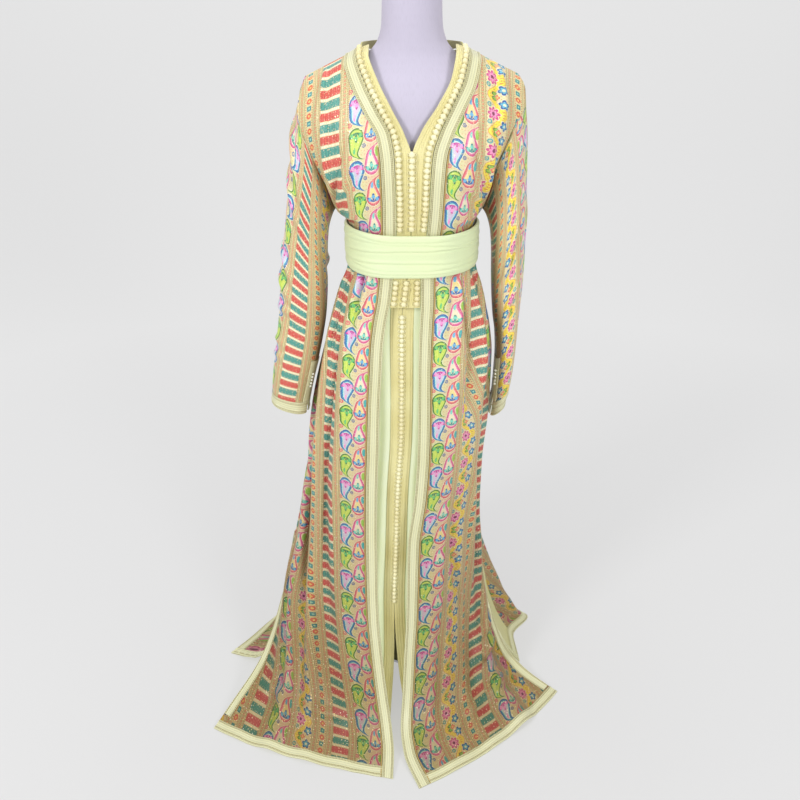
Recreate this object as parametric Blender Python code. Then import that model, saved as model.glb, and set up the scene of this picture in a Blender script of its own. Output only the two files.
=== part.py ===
"""A long two-piece kaftan: a printed outer robe with pale satin bands, braided plastron and knotted buttons, over a
plain satin underdress, with a wide pleated sash, worn by a limbless dress form. Metres, +Z up, front faces -Y."""
import math
import bpy
import bmesh
import numpy as np

# ------------------------------------------------------------------ driving dimensions (metres, +Z up, front faces -Y)
CLOTH = 0.0015          # wall of every cloth piece
TRIM = 0.0012           # wall of a band sewn on a panel
GAP = 0.0004            # clearance at seams and between layers
BORDER_W = 0.026        # pale satin band down each front edge
HEM_W = 0.024           # band along the hems
SLIT_W = 0.022          # band along the side slits
SLIT_ROW = 19.0         # table row at which the side slits open
BUTTON_R = 0.0046       # knotted cord button
BELT_Z = (1.074, 1.162) # lower and upper edge of the sash
SHIFT = (0.05945, 0.12885, 0.0)     # puts the middle of the footprint on the origin

# one row for each cross-section of a front panel, shoulder to hem: inner (front) edge, outer (side) edge and
# how far the section rounds from a straight line (0) to a quarter ellipse (1)
FRONT_COLUMNS = ("name", "xi", "yi", "zi", "xo", "yo", "zo", "rnd")
FRONT_L = (
    ("shoulder",   -0.1040, -0.0040, 1.4900, -0.2050, -0.0020, 1.4420, 0.00),
    ("yoke",       -0.1050, -0.0440, 1.4780, -0.2140, -0.0240, 1.4220, 0.10),
    ("collarbone", -0.0880, -0.0800, 1.4340, -0.2220, -0.0400, 1.3820, 0.30),
    ("chest",      -0.0630, -0.1040, 1.3880, -0.2130, -0.0520, 1.3420, 0.50),
    ("neck point", -0.0410, -0.1190, 1.3490, -0.1980, -0.0540, 1.3020, 0.70),
    ("upper bust", -0.0340, -0.1290, 1.3090, -0.1830, -0.0460, 1.2620, 0.85),
    ("bust",       -0.0320, -0.1330, 1.2650, -0.1680, -0.0260, 1.2230, 0.95),
    ("underarm",   -0.0310, -0.1310, 1.2200, -0.1580, -0.0003, 1.1860, 1.00),
    ("ribs",       -0.0310, -0.1270, 1.1700, -0.1335, -0.0003, 1.1640, 1.00),
    ("waist",      -0.0340, -0.1220, 1.1150, -0.1310, -0.0003, 1.1120, 1.00),
    ("belt foot",  -0.0390, -0.1240, 1.0680, -0.1345, -0.0003, 1.0700, 1.00),
    ("high hip",   -0.0440, -0.1310, 1.0250, -0.1540, -0.0003, 1.0250, 1.00),
    ("hip",        -0.0530, -0.1390, 0.9800, -0.1700, -0.0003, 0.9800, 1.00),
    ("seat",       -0.0600, -0.1460, 0.9300, -0.1850, -0.0003, 0.9300, 1.00),
    ("thigh",      -0.0640, -0.1540, 0.8700, -0.1990, -0.0003, 0.8700, 1.00),
    ("mid thigh",  -0.0690, -0.1630, 0.7950, -0.2150, -0.0003, 0.7950, 1.00),
    ("low thigh",  -0.0730, -0.1760, 0.6950, -0.2320, -0.0010, 0.6950, 1.00),
    ("knee",       -0.0780, -0.1920, 0.5750, -0.2490, -0.0030, 0.5800, 0.97),
    ("calf",       -0.0800, -0.2120, 0.4550, -0.2670, -0.0100, 0.4600, 0.92),
    ("slit top",   -0.0800, -0.2320, 0.3650, -0.2880, -0.0240, 0.3700, 0.85),
    ("shin",       -0.0780, -0.2560, 0.2750, -0.3120, -0.0480, 0.2750, 0.75),
    ("low shin",   -0.0700, -0.2880, 0.1830, -0.3400, -0.0820, 0.1850, 0.65),
    ("ankle",      -0.0590, -0.3280, 0.1020, -0.3660, -0.1250, 0.1080, 0.55),
    ("break",      -0.0480, -0.3730, 0.0480, -0.3980, -0.1820, 0.0520, 0.48),
    ("train",      -0.0420, -0.4220, 0.0150, -0.4430, -0.2540, 0.0160, 0.42),
    ("hem",        -0.0430, -0.4760, 0.0000, -0.4830, -0.3400, 0.0000, 0.36),
)
FRONT_R = (
    ("shoulder",    0.1060, -0.0040, 1.4910,  0.2050, -0.0020, 1.4460, 0.00),
    ("yoke",        0.1070, -0.0410, 1.4820,  0.2170, -0.0220, 1.4260, 0.10),
    ("collarbone",  0.0970, -0.0760, 1.4400,  0.2180, -0.0400, 1.3900, 0.30),
    ("chest",       0.0760, -0.1000, 1.3980,  0.1990, -0.0560, 1.3600, 0.50),
    ("neck point",  0.0530, -0.1170, 1.3520,  0.1830, -0.0580, 1.3220, 0.70),
    ("upper bust",  0.0400, -0.1270, 1.3120,  0.1680, -0.0500, 1.2820, 0.85),
    ("bust",        0.0360, -0.1330, 1.2650,  0.1560, -0.0280, 1.2300, 0.95),
    ("underarm",    0.0340, -0.1310, 1.2200,  0.1450, -0.0003, 1.1860, 1.00),
    ("ribs",        0.0300, -0.1270, 1.1700,  0.1325, -0.0003, 1.1640, 1.00),
    ("waist",       0.0230, -0.1220, 1.1150,  0.1290, -0.0003, 1.1120, 1.00),
    ("belt foot",   0.0180, -0.1240, 1.0680,  0.1335, -0.0003, 1.0700, 1.00),
    ("high hip",    0.0180, -0.1310, 1.0250,  0.1480, -0.0003, 1.0250, 1.00),
    ("hip",         0.0160, -0.1390, 0.9800,  0.1610, -0.0003, 0.9800, 1.00),
    ("seat",        0.0140, -0.1460, 0.9300,  0.1730, -0.0003, 0.9300, 1.00),
    ("thigh",       0.0130, -0.1540, 0.8700,  0.1790, -0.0003, 0.8700, 1.00),
    ("mid thigh",   0.0130, -0.1630, 0.7950,  0.1760, -0.0003, 0.7950, 1.00),
    ("low thigh",   0.0120, -0.1760, 0.6950,  0.1710, -0.0010, 0.6950, 1.00),
    ("knee",        0.0050, -0.1920, 0.5750,  0.1640, -0.0030, 0.5800, 0.97),
    ("calf",       -0.0100, -0.2120, 0.4550,  0.1640, -0.0080, 0.4600, 0.92),
    ("slit top",   -0.0120, -0.2320, 0.3650,  0.1670, -0.0160, 0.3700, 0.85),
    ("shin",       -0.0140, -0.2560, 0.2750,  0.1730, -0.0280, 0.2750, 0.75),
    ("low shin",   -0.0190, -0.2880, 0.1830,  0.1940, -0.0480, 0.1850, 0.65),
    ("ankle",      -0.0230, -0.3280, 0.1020,  0.2180, -0.0850, 0.1080, 0.52),
    ("break",      -0.0270, -0.3730, 0.0480,  0.2480, -0.1250, 0.0520, 0.42),
    ("train",      -0.0180, -0.4260, 0.0150,  0.3050, -0.1770, 0.0160, 0.34),
    ("hem",         0.0160, -0.5000, 0.0000,  0.3730, -0.2290, 0.0000, 0.28),
)
# the main folds of a front panel: a ridge centred on fraction s (at its top and at the hem) of the section's width,
# its half width in the same fraction, its height, and the table rows between which it grows
FOLD_COLUMNS = ("name", "s_top", "s_hem", "half", "height", "row_from", "row_full")
FOLDS_L = (
    ("side fold",    0.84, 0.60, 0.070, 0.024, 16.5, 20.0),
    ("middle fold",  0.60, 0.40, 0.060, 0.016, 15.0, 20.0),
    ("inner fold",   0.30, 0.22, 0.060, 0.008, 16.0, 21.0),
    ("hip fold",     0.72, 0.80, 0.060, 0.007, 11.5, 15.0),
)
FOLDS_R = (
    ("side fold",    0.86, 0.66, 0.075, 0.024, 17.5, 21.0),
    ("middle fold",  0.58, 0.46, 0.060, 0.010, 16.0, 21.0),
    ("inner fold",   0.26, 0.20, 0.060, 0.007, 16.0, 21.0),
    ("hip fold",     0.66, 0.70, 0.060, 0.006, 11.5, 15.0),
)
# one row for each cross-section of the back: left and right side edges and the centre back
BACK_COLUMNS = ("name", "xl", "yl", "zl", "xr", "yr", "zr", "xc", "yc", "zc", "rnd")
BACK = (
    ("shoulder",   -0.2050, 0.0020, 1.4420, 0.2050, 0.0020, 1.4460,  0.000, 0.0760, 1.4780, 0.00),
    ("yoke",       -0.2140, 0.0240, 1.4220, 0.2170, 0.0240, 1.4260,  0.000, 0.0900, 1.4480, 0.60),
    ("blade",      -0.2180, 0.0420, 1.3820, 0.2180, 0.0420, 1.3860,  0.000, 0.1080, 1.4000, 0.80),
    ("upper back", -0.2080, 0.0520, 1.3400, 0.2030, 0.0540, 1.3520,  0.000, 0.1180, 1.3520, 0.90),
    ("back",       -0.1950, 0.0520, 1.3020, 0.1870, 0.0540, 1.3160,  0.000, 0.1210, 1.3050, 0.95),
    ("mid back",   -0.1820, 0.0440, 1.2620, 0.1710, 0.0460, 1.2780,  0.000, 0.1200, 1.2600, 1.00),
    ("low back",   -0.1680, 0.0260, 1.2230, 0.1570, 0.0280, 1.2300,  0.000, 0.1180, 1.2200, 1.00),
    ("underarm",   -0.1580, 0.0003, 1.1860, 0.1450, 0.0003, 1.1860,  0.000, 0.1160, 1.1840, 1.00),
    ("ribs",       -0.1335, 0.0003, 1.1640, 0.1325, 0.0003, 1.1640, -0.002, 0.1130, 1.1640, 1.00),
    ("waist",      -0.1310, 0.0003, 1.1120, 0.1290, 0.0003, 1.1120, -0.002, 0.1120, 1.1120, 1.00),
    ("belt foot",  -0.1345, 0.0003, 1.0700, 0.1335, 0.0003, 1.0700, -0.002, 0.1170, 1.0700, 1.00),
    ("high hip",   -0.1540, 0.0003, 1.0250, 0.1480, 0.0003, 1.0250, -0.003, 0.1280, 1.0250, 1.00),
    ("hip",        -0.1700, 0.0003, 0.9800, 0.1610, 0.0003, 0.9800, -0.004, 0.1400, 0.9800, 1.00),
    ("seat",       -0.1850, 0.0003, 0.9300, 0.1730, 0.0003, 0.9300, -0.006, 0.1490, 0.9300, 1.00),
    ("thigh",      -0.1990, 0.0003, 0.8700, 0.1790, 0.0003, 0.8700, -0.010, 0.1540, 0.8700, 1.00),
    ("mid thigh",  -0.2150, 0.0003, 0.7950, 0.1760, 0.0003, 0.7950, -0.018, 0.1580, 0.7950, 1.00),
    ("low thigh",  -0.2320, 0.0010, 0.6950, 0.1710, 0.0010, 0.6950, -0.028, 0.1650, 0.6950, 1.00),
    ("knee",       -0.2490, 0.0010, 0.5800, 0.1640, 0.0010, 0.5800, -0.040, 0.1730, 0.5780, 1.00),
    ("calf",       -0.2660, 0.0010, 0.4600, 0.1650, 0.0010, 0.4600, -0.048, 0.1830, 0.4580, 1.00),
    ("slit top",   -0.2860, 0.0000, 0.3700, 0.1730, 0.0000, 0.3700, -0.052, 0.1930, 0.3650, 1.00),
)
# the back hem as it lies on the floor, left corner to right corner
HEM_COLUMNS = ("name", "s", "x", "y")
BACK_HEM = (
    ("left corner",  0.00, -0.492, -0.098),
    ("left sweep",   0.10, -0.388,  0.040),
    ("left fold",    0.20, -0.305,  0.128),
    ("left back",    0.32, -0.205,  0.190),
    ("centre back",  0.46, -0.085,  0.232),
    ("right back",   0.60,  0.030,  0.212),
    ("right fold",   0.72,  0.125,  0.150),
    ("flap back",    0.82,  0.215,  0.088),
    ("flap tip",     0.90,  0.333,  0.040),
    ("flap front",   0.955, 0.283, -0.036),
    ("slit foot",    1.00,  0.288, -0.128),
)
BACK_DROP_ROWS = 6      # rows from the slit top to the hem
# height and spread of the back below the slit top: fraction of the way out to the hem curve, height above the floor
DROP_COLUMNS = ("name", "spread", "z")
BACK_DROP = (
    ("slit top", 0.000, 0.3700),
    ("shin",     0.170, 0.2750),
    ("low shin", 0.350, 0.1850),
    ("ankle",    0.540, 0.1080),
    ("break",    0.715, 0.0520),
    ("train",    0.860, 0.0160),
    ("hem",      1.000, 0.0000),
)
# the back's own slit edges below the slit top, on the rows of BACK_DROP
EDGE_COLUMNS = ("name", "xl", "yl", "zl", "xr", "yr", "zr")
BACK_EDGE = (
    ("slit top", -0.2860,  0.0000, 0.3700, 0.1730,  0.0000, 0.3700),
    ("shin",     -0.2980, -0.0150, 0.2750, 0.1730, -0.0060, 0.2750),
    ("low shin", -0.3160, -0.0400, 0.1850, 0.1840, -0.0240, 0.1850),
    ("ankle",    -0.3350, -0.0720, 0.1050, 0.2030, -0.0480, 0.1050),
    ("break",    -0.3620, -0.1050, 0.0480, 0.2320, -0.0740, 0.0450),
    ("train",    -0.4170, -0.1250, 0.0120, 0.2620, -0.1040, 0.0120),
    ("hem",      -0.4920, -0.0980, 0.0000, 0.2880, -0.1280, 0.0000),
)
BACK_FOLDS = (
    ("left fold",    0.16, 0.15, 0.050, 0.016, 14.0, 20.0),
    ("left mid",     0.32, 0.33, 0.050, 0.018, 13.0, 20.0),
    ("centre",       0.50, 0.49, 0.050, 0.020, 12.0, 20.0),
    ("right mid",    0.68, 0.66, 0.050, 0.018, 13.0, 20.0),
    ("right fold",   0.84, 0.80, 0.045, 0.012, 14.0, 20.0),
)
# sleeve sections from the armhole to the cuff: outer and inner ends of the section, half depth, centre y
SLEEVE_COLUMNS = ("name", "xo", "zo", "xi", "zi", "depth", "yc")
SLEEVE_L = (
    ("armhole",   -0.2115, 1.4405, -0.1660, 1.1880, 0.0570,  0.000),
    ("head",      -0.2290, 1.3850, -0.1740, 1.1680, 0.0600, -0.001),
    ("cap",       -0.2410, 1.3250, -0.1800, 1.1380, 0.0620, -0.002),
    ("biceps",    -0.2500, 1.2600, -0.1840, 1.1000, 0.0620, -0.004),
    ("low biceps",-0.2620, 1.1900, -0.1860, 1.0600, 0.0610, -0.006),
    ("elbow",     -0.2740, 1.1100, -0.1880, 1.0100, 0.0590, -0.010),
    ("forearm",   -0.2860, 1.0300, -0.1930, 0.9550, 0.0560, -0.014),
    ("mid arm",   -0.2950, 0.9550, -0.2030, 0.9000, 0.0530, -0.018),
    ("low arm",   -0.3060, 0.8900, -0.2150, 0.8500, 0.0500, -0.022),
    ("wrist",     -0.3160, 0.8300, -0.2290, 0.8000, 0.0480, -0.026),
    ("cuff top",  -0.3220, 0.7840, -0.2380, 0.7630, 0.0460, -0.028),
    ("cuff",      -0.3250, 0.7460, -0.2460, 0.7200, 0.0450, -0.030),
)
SLEEVE_R = (
    ("armhole",    0.2115, 1.4440,  0.1530, 1.1880, 0.0590,  0.000),
    ("head",       0.2280, 1.3900,  0.1630, 1.1680, 0.0620,  0.001),
    ("cap",        0.2320, 1.3300,  0.1690, 1.1350, 0.0640,  0.002),
    ("biceps",     0.2360, 1.2600,  0.1730, 1.0950, 0.0640,  0.003),
    ("low biceps", 0.2390, 1.1900,  0.1750, 1.0500, 0.0630,  0.004),
    ("elbow",      0.2400, 1.1100,  0.1780, 1.0000, 0.0610,  0.005),
    ("forearm",    0.2400, 1.0300,  0.1830, 0.9450, 0.0590,  0.006),
    ("mid arm",    0.2390, 0.9650,  0.1900, 0.8980, 0.0570,  0.006),
    ("low arm",    0.2370, 0.9000,  0.1930, 0.8450, 0.0550,  0.004),
    ("wrist",      0.2340, 0.8400,  0.1920, 0.7950, 0.0530,  0.002),
    ("cuff top",   0.2290, 0.7900,  0.1900, 0.7500, 0.0510,  0.000),
    ("cuff",       0.2180, 0.7350,  0.1860, 0.7000, 0.0490, -0.002),
)
SLEEVE_SEAM = {"l": 0.455, "r": 0.43}   # where round the sleeve (0 shoulder, 0.25 front, 0.5 inner) its seam and cuff slit run
# underdress sections: placket x and y, side half widths, centre back
UNDER_COLUMNS = ("name", "z", "xp", "yp", "xl", "xr", "yb")
UNDER = (
    ("top edge",   1.2700,  0.0000, -0.1210, -0.1480, 0.1420, 0.1060),
    ("bust",       1.2300,  0.0000, -0.1220, -0.1480, 0.1400, 0.1060),
    ("ribs",       1.1700, -0.0020, -0.1180, -0.1270, 0.1250, 0.1030),
    ("waist",      1.1120, -0.0070, -0.1120, -0.1230, 0.1210, 0.1020),
    ("belt foot",  1.0700, -0.0110, -0.1130, -0.1280, 0.1250, 0.1060),
    ("high hip",   1.0250, -0.0180, -0.1180, -0.1420, 0.1370, 0.1170),
    ("hip",        0.9800, -0.0210, -0.1240, -0.1560, 0.1490, 0.1280),
    ("seat",       0.9300, -0.0220, -0.1290, -0.1690, 0.1590, 0.1360),
    ("thigh",      0.8500, -0.0220, -0.1370, -0.1800, 0.1630, 0.1400),
    ("low thigh",  0.7200, -0.0240, -0.1480, -0.1930, 0.1570, 0.1450),
    ("knee",       0.5750, -0.0330, -0.1640, -0.2020, 0.1500, 0.1530),
    ("calf",       0.4300, -0.0380, -0.1840, -0.2100, 0.1500, 0.1610),
    ("shin",       0.2900, -0.0430, -0.2120, -0.2200, 0.1540, 0.1690),
    ("ankle",      0.1600, -0.0400, -0.2520, -0.2320, 0.1620, 0.1700),
    ("low ankle",  0.0850, -0.0370, -0.2860, -0.2420, 0.1700, 0.1730),
    ("break",      0.0350, -0.0340, -0.3210, -0.2520, 0.1780, 0.1760),
    ("train",      0.0110, -0.0310, -0.3540, -0.2600, 0.1850, 0.1780),
    ("hem",        0.0000, -0.0290, -0.3850, -0.2680, 0.1920, 0.1800),
)
UNDER_SLIT_ROW = 12.0
# dress form sections: half width, front and back depth
FORM_COLUMNS = ("name", "z", "a", "yf", "yb")
FORM = (
    ("foot",      0.790, 0.120, 0.090, 0.092),
    ("seat",      0.830, 0.142, 0.108, 0.110),
    ("hip",       0.900, 0.146, 0.112, 0.114),
    ("high hip",  1.000, 0.128, 0.102, 0.102),
    ("waist",     1.100, 0.112, 0.096, 0.092),
    ("ribs",      1.180, 0.120, 0.104, 0.094),
    ("bust",      1.260, 0.134, 0.113, 0.096),
    ("chest",     1.320, 0.148, 0.111, 0.100),
    ("armhole",   1.370, 0.168, 0.101, 0.098),
    ("blade",     1.405, 0.176, 0.089, 0.092),
    ("shoulder",  1.432, 0.166, 0.075, 0.082),
    ("slope",     1.452, 0.134, 0.062, 0.072),
    ("neck base", 1.470, 0.104, 0.053, 0.064),
    ("neck root", 1.487, 0.082, 0.048, 0.058),
    ("neck low",  1.507, 0.066, 0.0465, 0.053),
    ("neck",      1.535, 0.0585, 0.0455, 0.049),
    ("neck top",  1.585, 0.0565, 0.0450, 0.047),
)

def table(rows, names):
    """The numeric columns of a table, by name."""
    return {n: np.array([r[i] for r in rows], float) for i, n in enumerate(names) if i}

def smooth(values, tau):
    """Monotone cubic through values at 0, 1, 2 ...; no overshoot, so sizes stay the ones in the table."""
    v = np.asarray(values, float); n = len(v)
    d = np.diff(v); m = np.zeros(n)
    both = d[:-1] * d[1:] > 0
    m[1:-1][both] = 2 * d[:-1][both] * d[1:][both] / (d[:-1][both] + d[1:][both])
    m[0], m[-1] = d[0], d[-1]
    tau = np.clip(np.asarray(tau, float), 0, n - 1)
    i = np.minimum(tau.astype(int), n - 2); f = tau - i
    return ((2*f**3 - 3*f**2 + 1) * v[i] + (f**3 - 2*f**2 + f) * m[i]
            + (-2*f**3 + 3*f**2) * v[i + 1] + (f**3 - f**2) * m[i + 1])

def step(x, a, b):
    x = np.clip((np.asarray(x, float) - a) / (b - a), 0, 1)
    return x * x * (3 - 2 * x)

def normals_of(fn, s, tau, es=1e-3, et=1e-2, flip=1.0):
    """Surface normals by central differences of the surface's own function."""
    a = fn(s + es, tau) - fn(s - es, tau)
    b = fn(s, tau + et) - fn(s, tau - et)
    n = np.cross(a, b) * flip
    return n / np.maximum(np.linalg.norm(n, axis=-1, keepdims=True), 1e-12)

FL, FR = table(FRONT_L, FRONT_COLUMNS), table(FRONT_R, FRONT_COLUMNS)
BK = table(BACK, BACK_COLUMNS)
N_FRONT = len(FRONT_L) - 1

def front_base(t, s, tau):
    c = {k: smooth(v, tau) for k, v in t.items()}
    sc = np.clip(s, -0.02, 1.02)
    f1 = (1 - c["rnd"]) * sc + c["rnd"] * np.sin(np.pi / 2 * sc)
    f2 = (1 - c["rnd"]) * sc + c["rnd"] * (1 - np.cos(np.pi / 2 * sc))
    p = np.stack([c["xi"] + (c["xo"] - c["xi"]) * f1, c["yi"] + (c["yo"] - c["yi"]) * f2,
                  c["zi"] + (c["zo"] - c["zi"]) * sc], -1)
    over = np.maximum(tau - (len(t["xi"]) - 1), 0)[..., None]
    return p + over * np.array([0, -0.05, 0.0])

def folds_at(folds, s, tau, last):
    h = np.zeros(np.broadcast(s, tau).shape)
    for name, s0, s1, half, height, r0, r1 in folds:
        at = s0 + (s1 - s0) * np.clip((tau - r0) / (last - r0), 0, 1)
        h = h + height * step(tau, r0, r1) * np.exp(-((s - at) / half) ** 2)
    return h

def front_fn(side):
    t, folds, flip = (FL, FOLDS_L, 1.0) if side == "l" else (FR, FOLDS_R, -1.0)
    def base(s, tau):
        return front_base(t, s, tau)
    def fn(s, tau):
        s, tau = np.broadcast_arrays(np.asarray(s, float), np.asarray(tau, float))
        p = base(s, tau)
        n = normals_of(base, s, tau, flip=flip)
        edge = step(s, 0.02, 0.10) * (1 - step(s, 0.92, 0.99))
        h = folds_at(folds, s, tau, N_FRONT) * edge * (1 - 0.55 * step(tau, 22.0, 25.0))
        p = p + n * h[..., None]
        p[..., 2] = np.maximum(p[..., 2], 0.0)
        return p
    return fn, flip

def back_ring(s, tau):
    """Section of the back from the left side edge (s=0) round to the right (s=1), rows 0 to 19."""
    c = {k: smooth(v, tau) for k, v in BK.items()}
    a = np.pi * np.clip(s, -0.01, 1.01)
    left = s < 0.5
    xe, ye, ze = (np.where(left, c[k + "l"], c[k + "r"]) for k in "xyz")
    k = np.abs(np.cos(a)) * np.where(np.abs(s - 0.5) <= 0.5, 1, 1)
    q = np.sin(a)
    lin = np.abs(2 * s - 1)
    f1 = (1 - c["rnd"]) * lin + c["rnd"] * k
    f2 = (1 - c["rnd"]) * lin + c["rnd"] * (1 - q)
    return np.stack([c["xc"] + (xe - c["xc"]) * f1, c["yc"] + (ye - c["yc"]) * f2,
                     c["zc"] + (ze - c["zc"]) * lin ** 2], -1)

def back_top(s):
    """Shoulder seams and back neckline, left to right."""
    m = np.abs(2 * s - 1)
    sign = np.where(s < 0.5, -1.0, 1.0)
    inner = m <= 0.5
    a = np.pi * np.minimum(m, 0.5)
    w = np.clip((m - 0.5) / 0.5, 0, 1)
    zt = np.where(s < 0.5, 1.4420, 1.4460)
    x = np.where(inner, 0.104 * np.sin(a), 0.104 + (0.205 - 0.104) * w)
    y = np.where(inner, -0.0034 + 0.0794 * np.cos(a), -0.0034 + 0.0020 * w)
    z = np.where(inner, 1.478 + 0.012 * np.sin(a) ** 2, 1.490 + (zt - 1.490) * w)
    return np.stack([sign * x, y, z], -1)

BACK_LAST = 19 + BACK_DROP_ROWS
def back_base(s, tau):
    s, tau = np.broadcast_arrays(np.asarray(s, float), np.asarray(tau, float))
    p = back_ring(s, np.minimum(tau, 19))
    first = np.clip(1 - tau, 0, 1)[..., None]
    p = p * (1 - first) + back_top(np.clip(s, 0, 1)) * first
    # below the slit top: out to the hem curve
    below = tau > 19
    if below.any():
        k = np.clip(tau - 19, 0, BACK_DROP_ROWS)
        spread = smooth([r[1] for r in BACK_DROP], k)
        z = smooth([r[2] for r in BACK_DROP], k)
        hs = np.array([r[1] for r in BACK_HEM])
        knots = np.interp(np.clip(s, 0, 1), hs, np.arange(len(hs)))
        hx = smooth([r[2] for r in BACK_HEM], knots); hy = smooth([r[3] for r in BACK_HEM], knots)
        ring = back_ring(s, np.full_like(tau, 19.0))
        q = np.stack([ring[..., 0] + (hx - ring[..., 0]) * spread, ring[..., 1] + (hy - ring[..., 1]) * spread, z], -1)
        for col, end in ((1, 0.0), (4, 1.0)):
            edge = np.stack([smooth([r[col + i] for r in BACK_EDGE], k) for i in range(3)], -1)
            re = back_ring(np.full_like(tau, end), np.full_like(tau, 19.0))
            ex, ey = (BACK_HEM[0][2:], BACK_HEM[-1][2:])[int(end)]
            at = np.stack([re[..., 0] + (ex - re[..., 0]) * spread, re[..., 1] + (ey - re[..., 1]) * spread, z], -1)
            q = q + (edge - at) * (1 - step(np.abs(s - end), 0.0, 0.10))[..., None]
        p = np.where(below[..., None], q, p)
    return p

def back_fn():
    def fn(s, tau):
        s, tau = np.broadcast_arrays(np.asarray(s, float), np.asarray(tau, float))
        p = back_base(s, tau)
        n = normals_of(back_base, s, tau)
        edge = step(s, 0.015, 0.08) * (1 - step(s, 0.92, 0.985))
        h = folds_at(BACK_FOLDS, s, tau, BACK_LAST) * edge * (1 - 0.6 * step(tau, 23.0, 25.0))
        p = p + n * h[..., None]
        p[..., 2] = np.maximum(p[..., 2], 0.0)
        return p
    return fn, 1.0

def armhole(side, a):
    """The armhole ring: the side edges of the front and back panels, at angle a round the sleeve."""
    t, col, sign = (FL, "l", -1.0) if side == "l" else (FR, "r", 1.0)
    z = 1.1862 + (t["zo"][0] - 1.1862) * (1 + np.cos(a)) / 2
    at = lambda zs, vs: np.interp(-z, -zs[:8], vs[:8])
    front = np.sin(a) >= 0
    x = np.where(front, at(t["zo"], t["xo"]), at(BK["z" + col], BK["x" + col]))
    y = np.where(front, at(t["zo"], t["yo"]), at(BK["z" + col], BK["y" + col]))
    return np.stack([x + sign * (0.0022 + 0.0006 * (1 - np.cos(a))), y, z], -1)

def sleeve_fn(side):
    t = table(SLEEVE_L if side == "l" else SLEEVE_R, SLEEVE_COLUMNS)
    seam = SLEEVE_SEAM[side]
    sign = -1.0 if side == "l" else 1.0
    def fn(s, tau):
        """s 0 to 1 once round from the seam; the gap at the seam opens into the cuff slit."""
        s, tau = np.broadcast_arrays(np.asarray(s, float), np.asarray(tau, float))
        c = {k: smooth(v, tau) for k, v in t.items()}
        gap = 0.0012 + 0.022 * step(tau, 9.2, 11.0)
        a = 2 * np.pi * (seam + gap + (1 - 2 * gap) * s)
        up = (1 + np.cos(a)) / 2             # 1 at the outer end of the section, 0 at the inner end
        sq = np.sin(a) * (1 + 0.10 * np.cos(2 * a))
        p = np.stack([c["xi"] + (c["xo"] - c["xi"]) * up, c["yc"] - c["depth"] * sq,
                      c["zi"] + (c["zo"] - c["zi"]) * up - 0.04 * np.maximum(tau - (len(t["xo"]) - 1), 0)], -1)
        set_in = (1 - step(tau, 0.0, 2.0))[..., None]
        return p + (armhole(side, a) - p) * set_in
    return fn, sign

UD = table(UNDER, UNDER_COLUMNS)
def under_fn(part):
    """part: 'l' and 'r' fronts from the placket to the side seam, 'b' the back from left to right."""
    def fn(s, tau):
        s, tau = np.broadcast_arrays(np.asarray(s, float), np.asarray(tau, float))
        c = {k: smooth(v, tau) for k, v in UD.items()}
        if part == "b":
            a = np.pi * s
            left = s < 0.5
            xe = np.where(left, c["xl"], c["xr"]); xm = (c["xl"] + c["xr"]) / 2
            x = xm + (xe - xm) * np.abs(np.cos(a)); y = 0.0004 + (c["yb"] - 0.0004) * np.sin(a)
        else:
            sign = -1.0 if part == "l" else 1.0
            xe = c["xl"] if part == "l" else c["xr"]
            slit = 0.0003 + 0.021 * step(tau, UNDER_SLIT_ROW, 16.0)
            xi = c["xp"] + sign * slit
            x = xi + (xe - xi) * np.sin(np.pi / 2 * s)
            y = -0.0004 + (c["yp"] + 0.0004) * np.cos(np.pi / 2 * np.clip(s, -1, 1))
        z = c["z"]
        return np.stack([x, y, np.broadcast_to(z, x.shape)], -1)
    return fn, {"l": 1.0, "r": -1.0, "b": 1.0}[part]

# plastron: inner edge of the braided strips, rows matched to the front panels' rows
PLASTRON_COLUMNS = ("name", "xl", "yl", "zl", "xr", "yr", "zr")
PLASTRON = (
    ("shoulder",   -0.0820, -0.0040, 1.4970, 0.0840, -0.0040, 1.4980),
    ("yoke",       -0.0815, -0.0450, 1.4820, 0.0830, -0.0420, 1.4870),
    ("collarbone", -0.0640, -0.0770, 1.4400, 0.0740, -0.0740, 1.4450),
    ("chest",      -0.0370, -0.1030, 1.3910, 0.0500, -0.0980, 1.4010),
    ("neck point", -0.0135, -0.1190, 1.3490, 0.0170, -0.1170, 1.3540),
    ("upper bust", -0.0006, -0.1290, 1.3090, 0.0006, -0.1280, 1.3120),
    ("bust",       -0.0006, -0.1335, 1.2650, 0.0006, -0.1335, 1.2650),
    ("underarm",   -0.0006, -0.1315, 1.2200, 0.0006, -0.1315, 1.2200),
    ("ribs",       -0.0022, -0.1275, 1.1700, -0.0010, -0.1275, 1.1700),
    ("waist",      -0.0060, -0.1225, 1.1150, -0.0048, -0.1225, 1.1150),
    ("belt foot",  -0.0112, -0.1245, 1.0680, -0.0100, -0.1245, 1.0680),
    ("high hip",   -0.0170, -0.1315, 1.0250, -0.0158, -0.1315, 1.0250),
    ("hip",        -0.0210, -0.1395, 0.9800, -0.0198, -0.1395, 0.9800),
)
PLASTRON_TAUS = [0, 1, 2, 3, 4, 4.7, 5, 6, 7, 8.02, 9, 9.99, 10.5, 11, 11.3]
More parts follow.
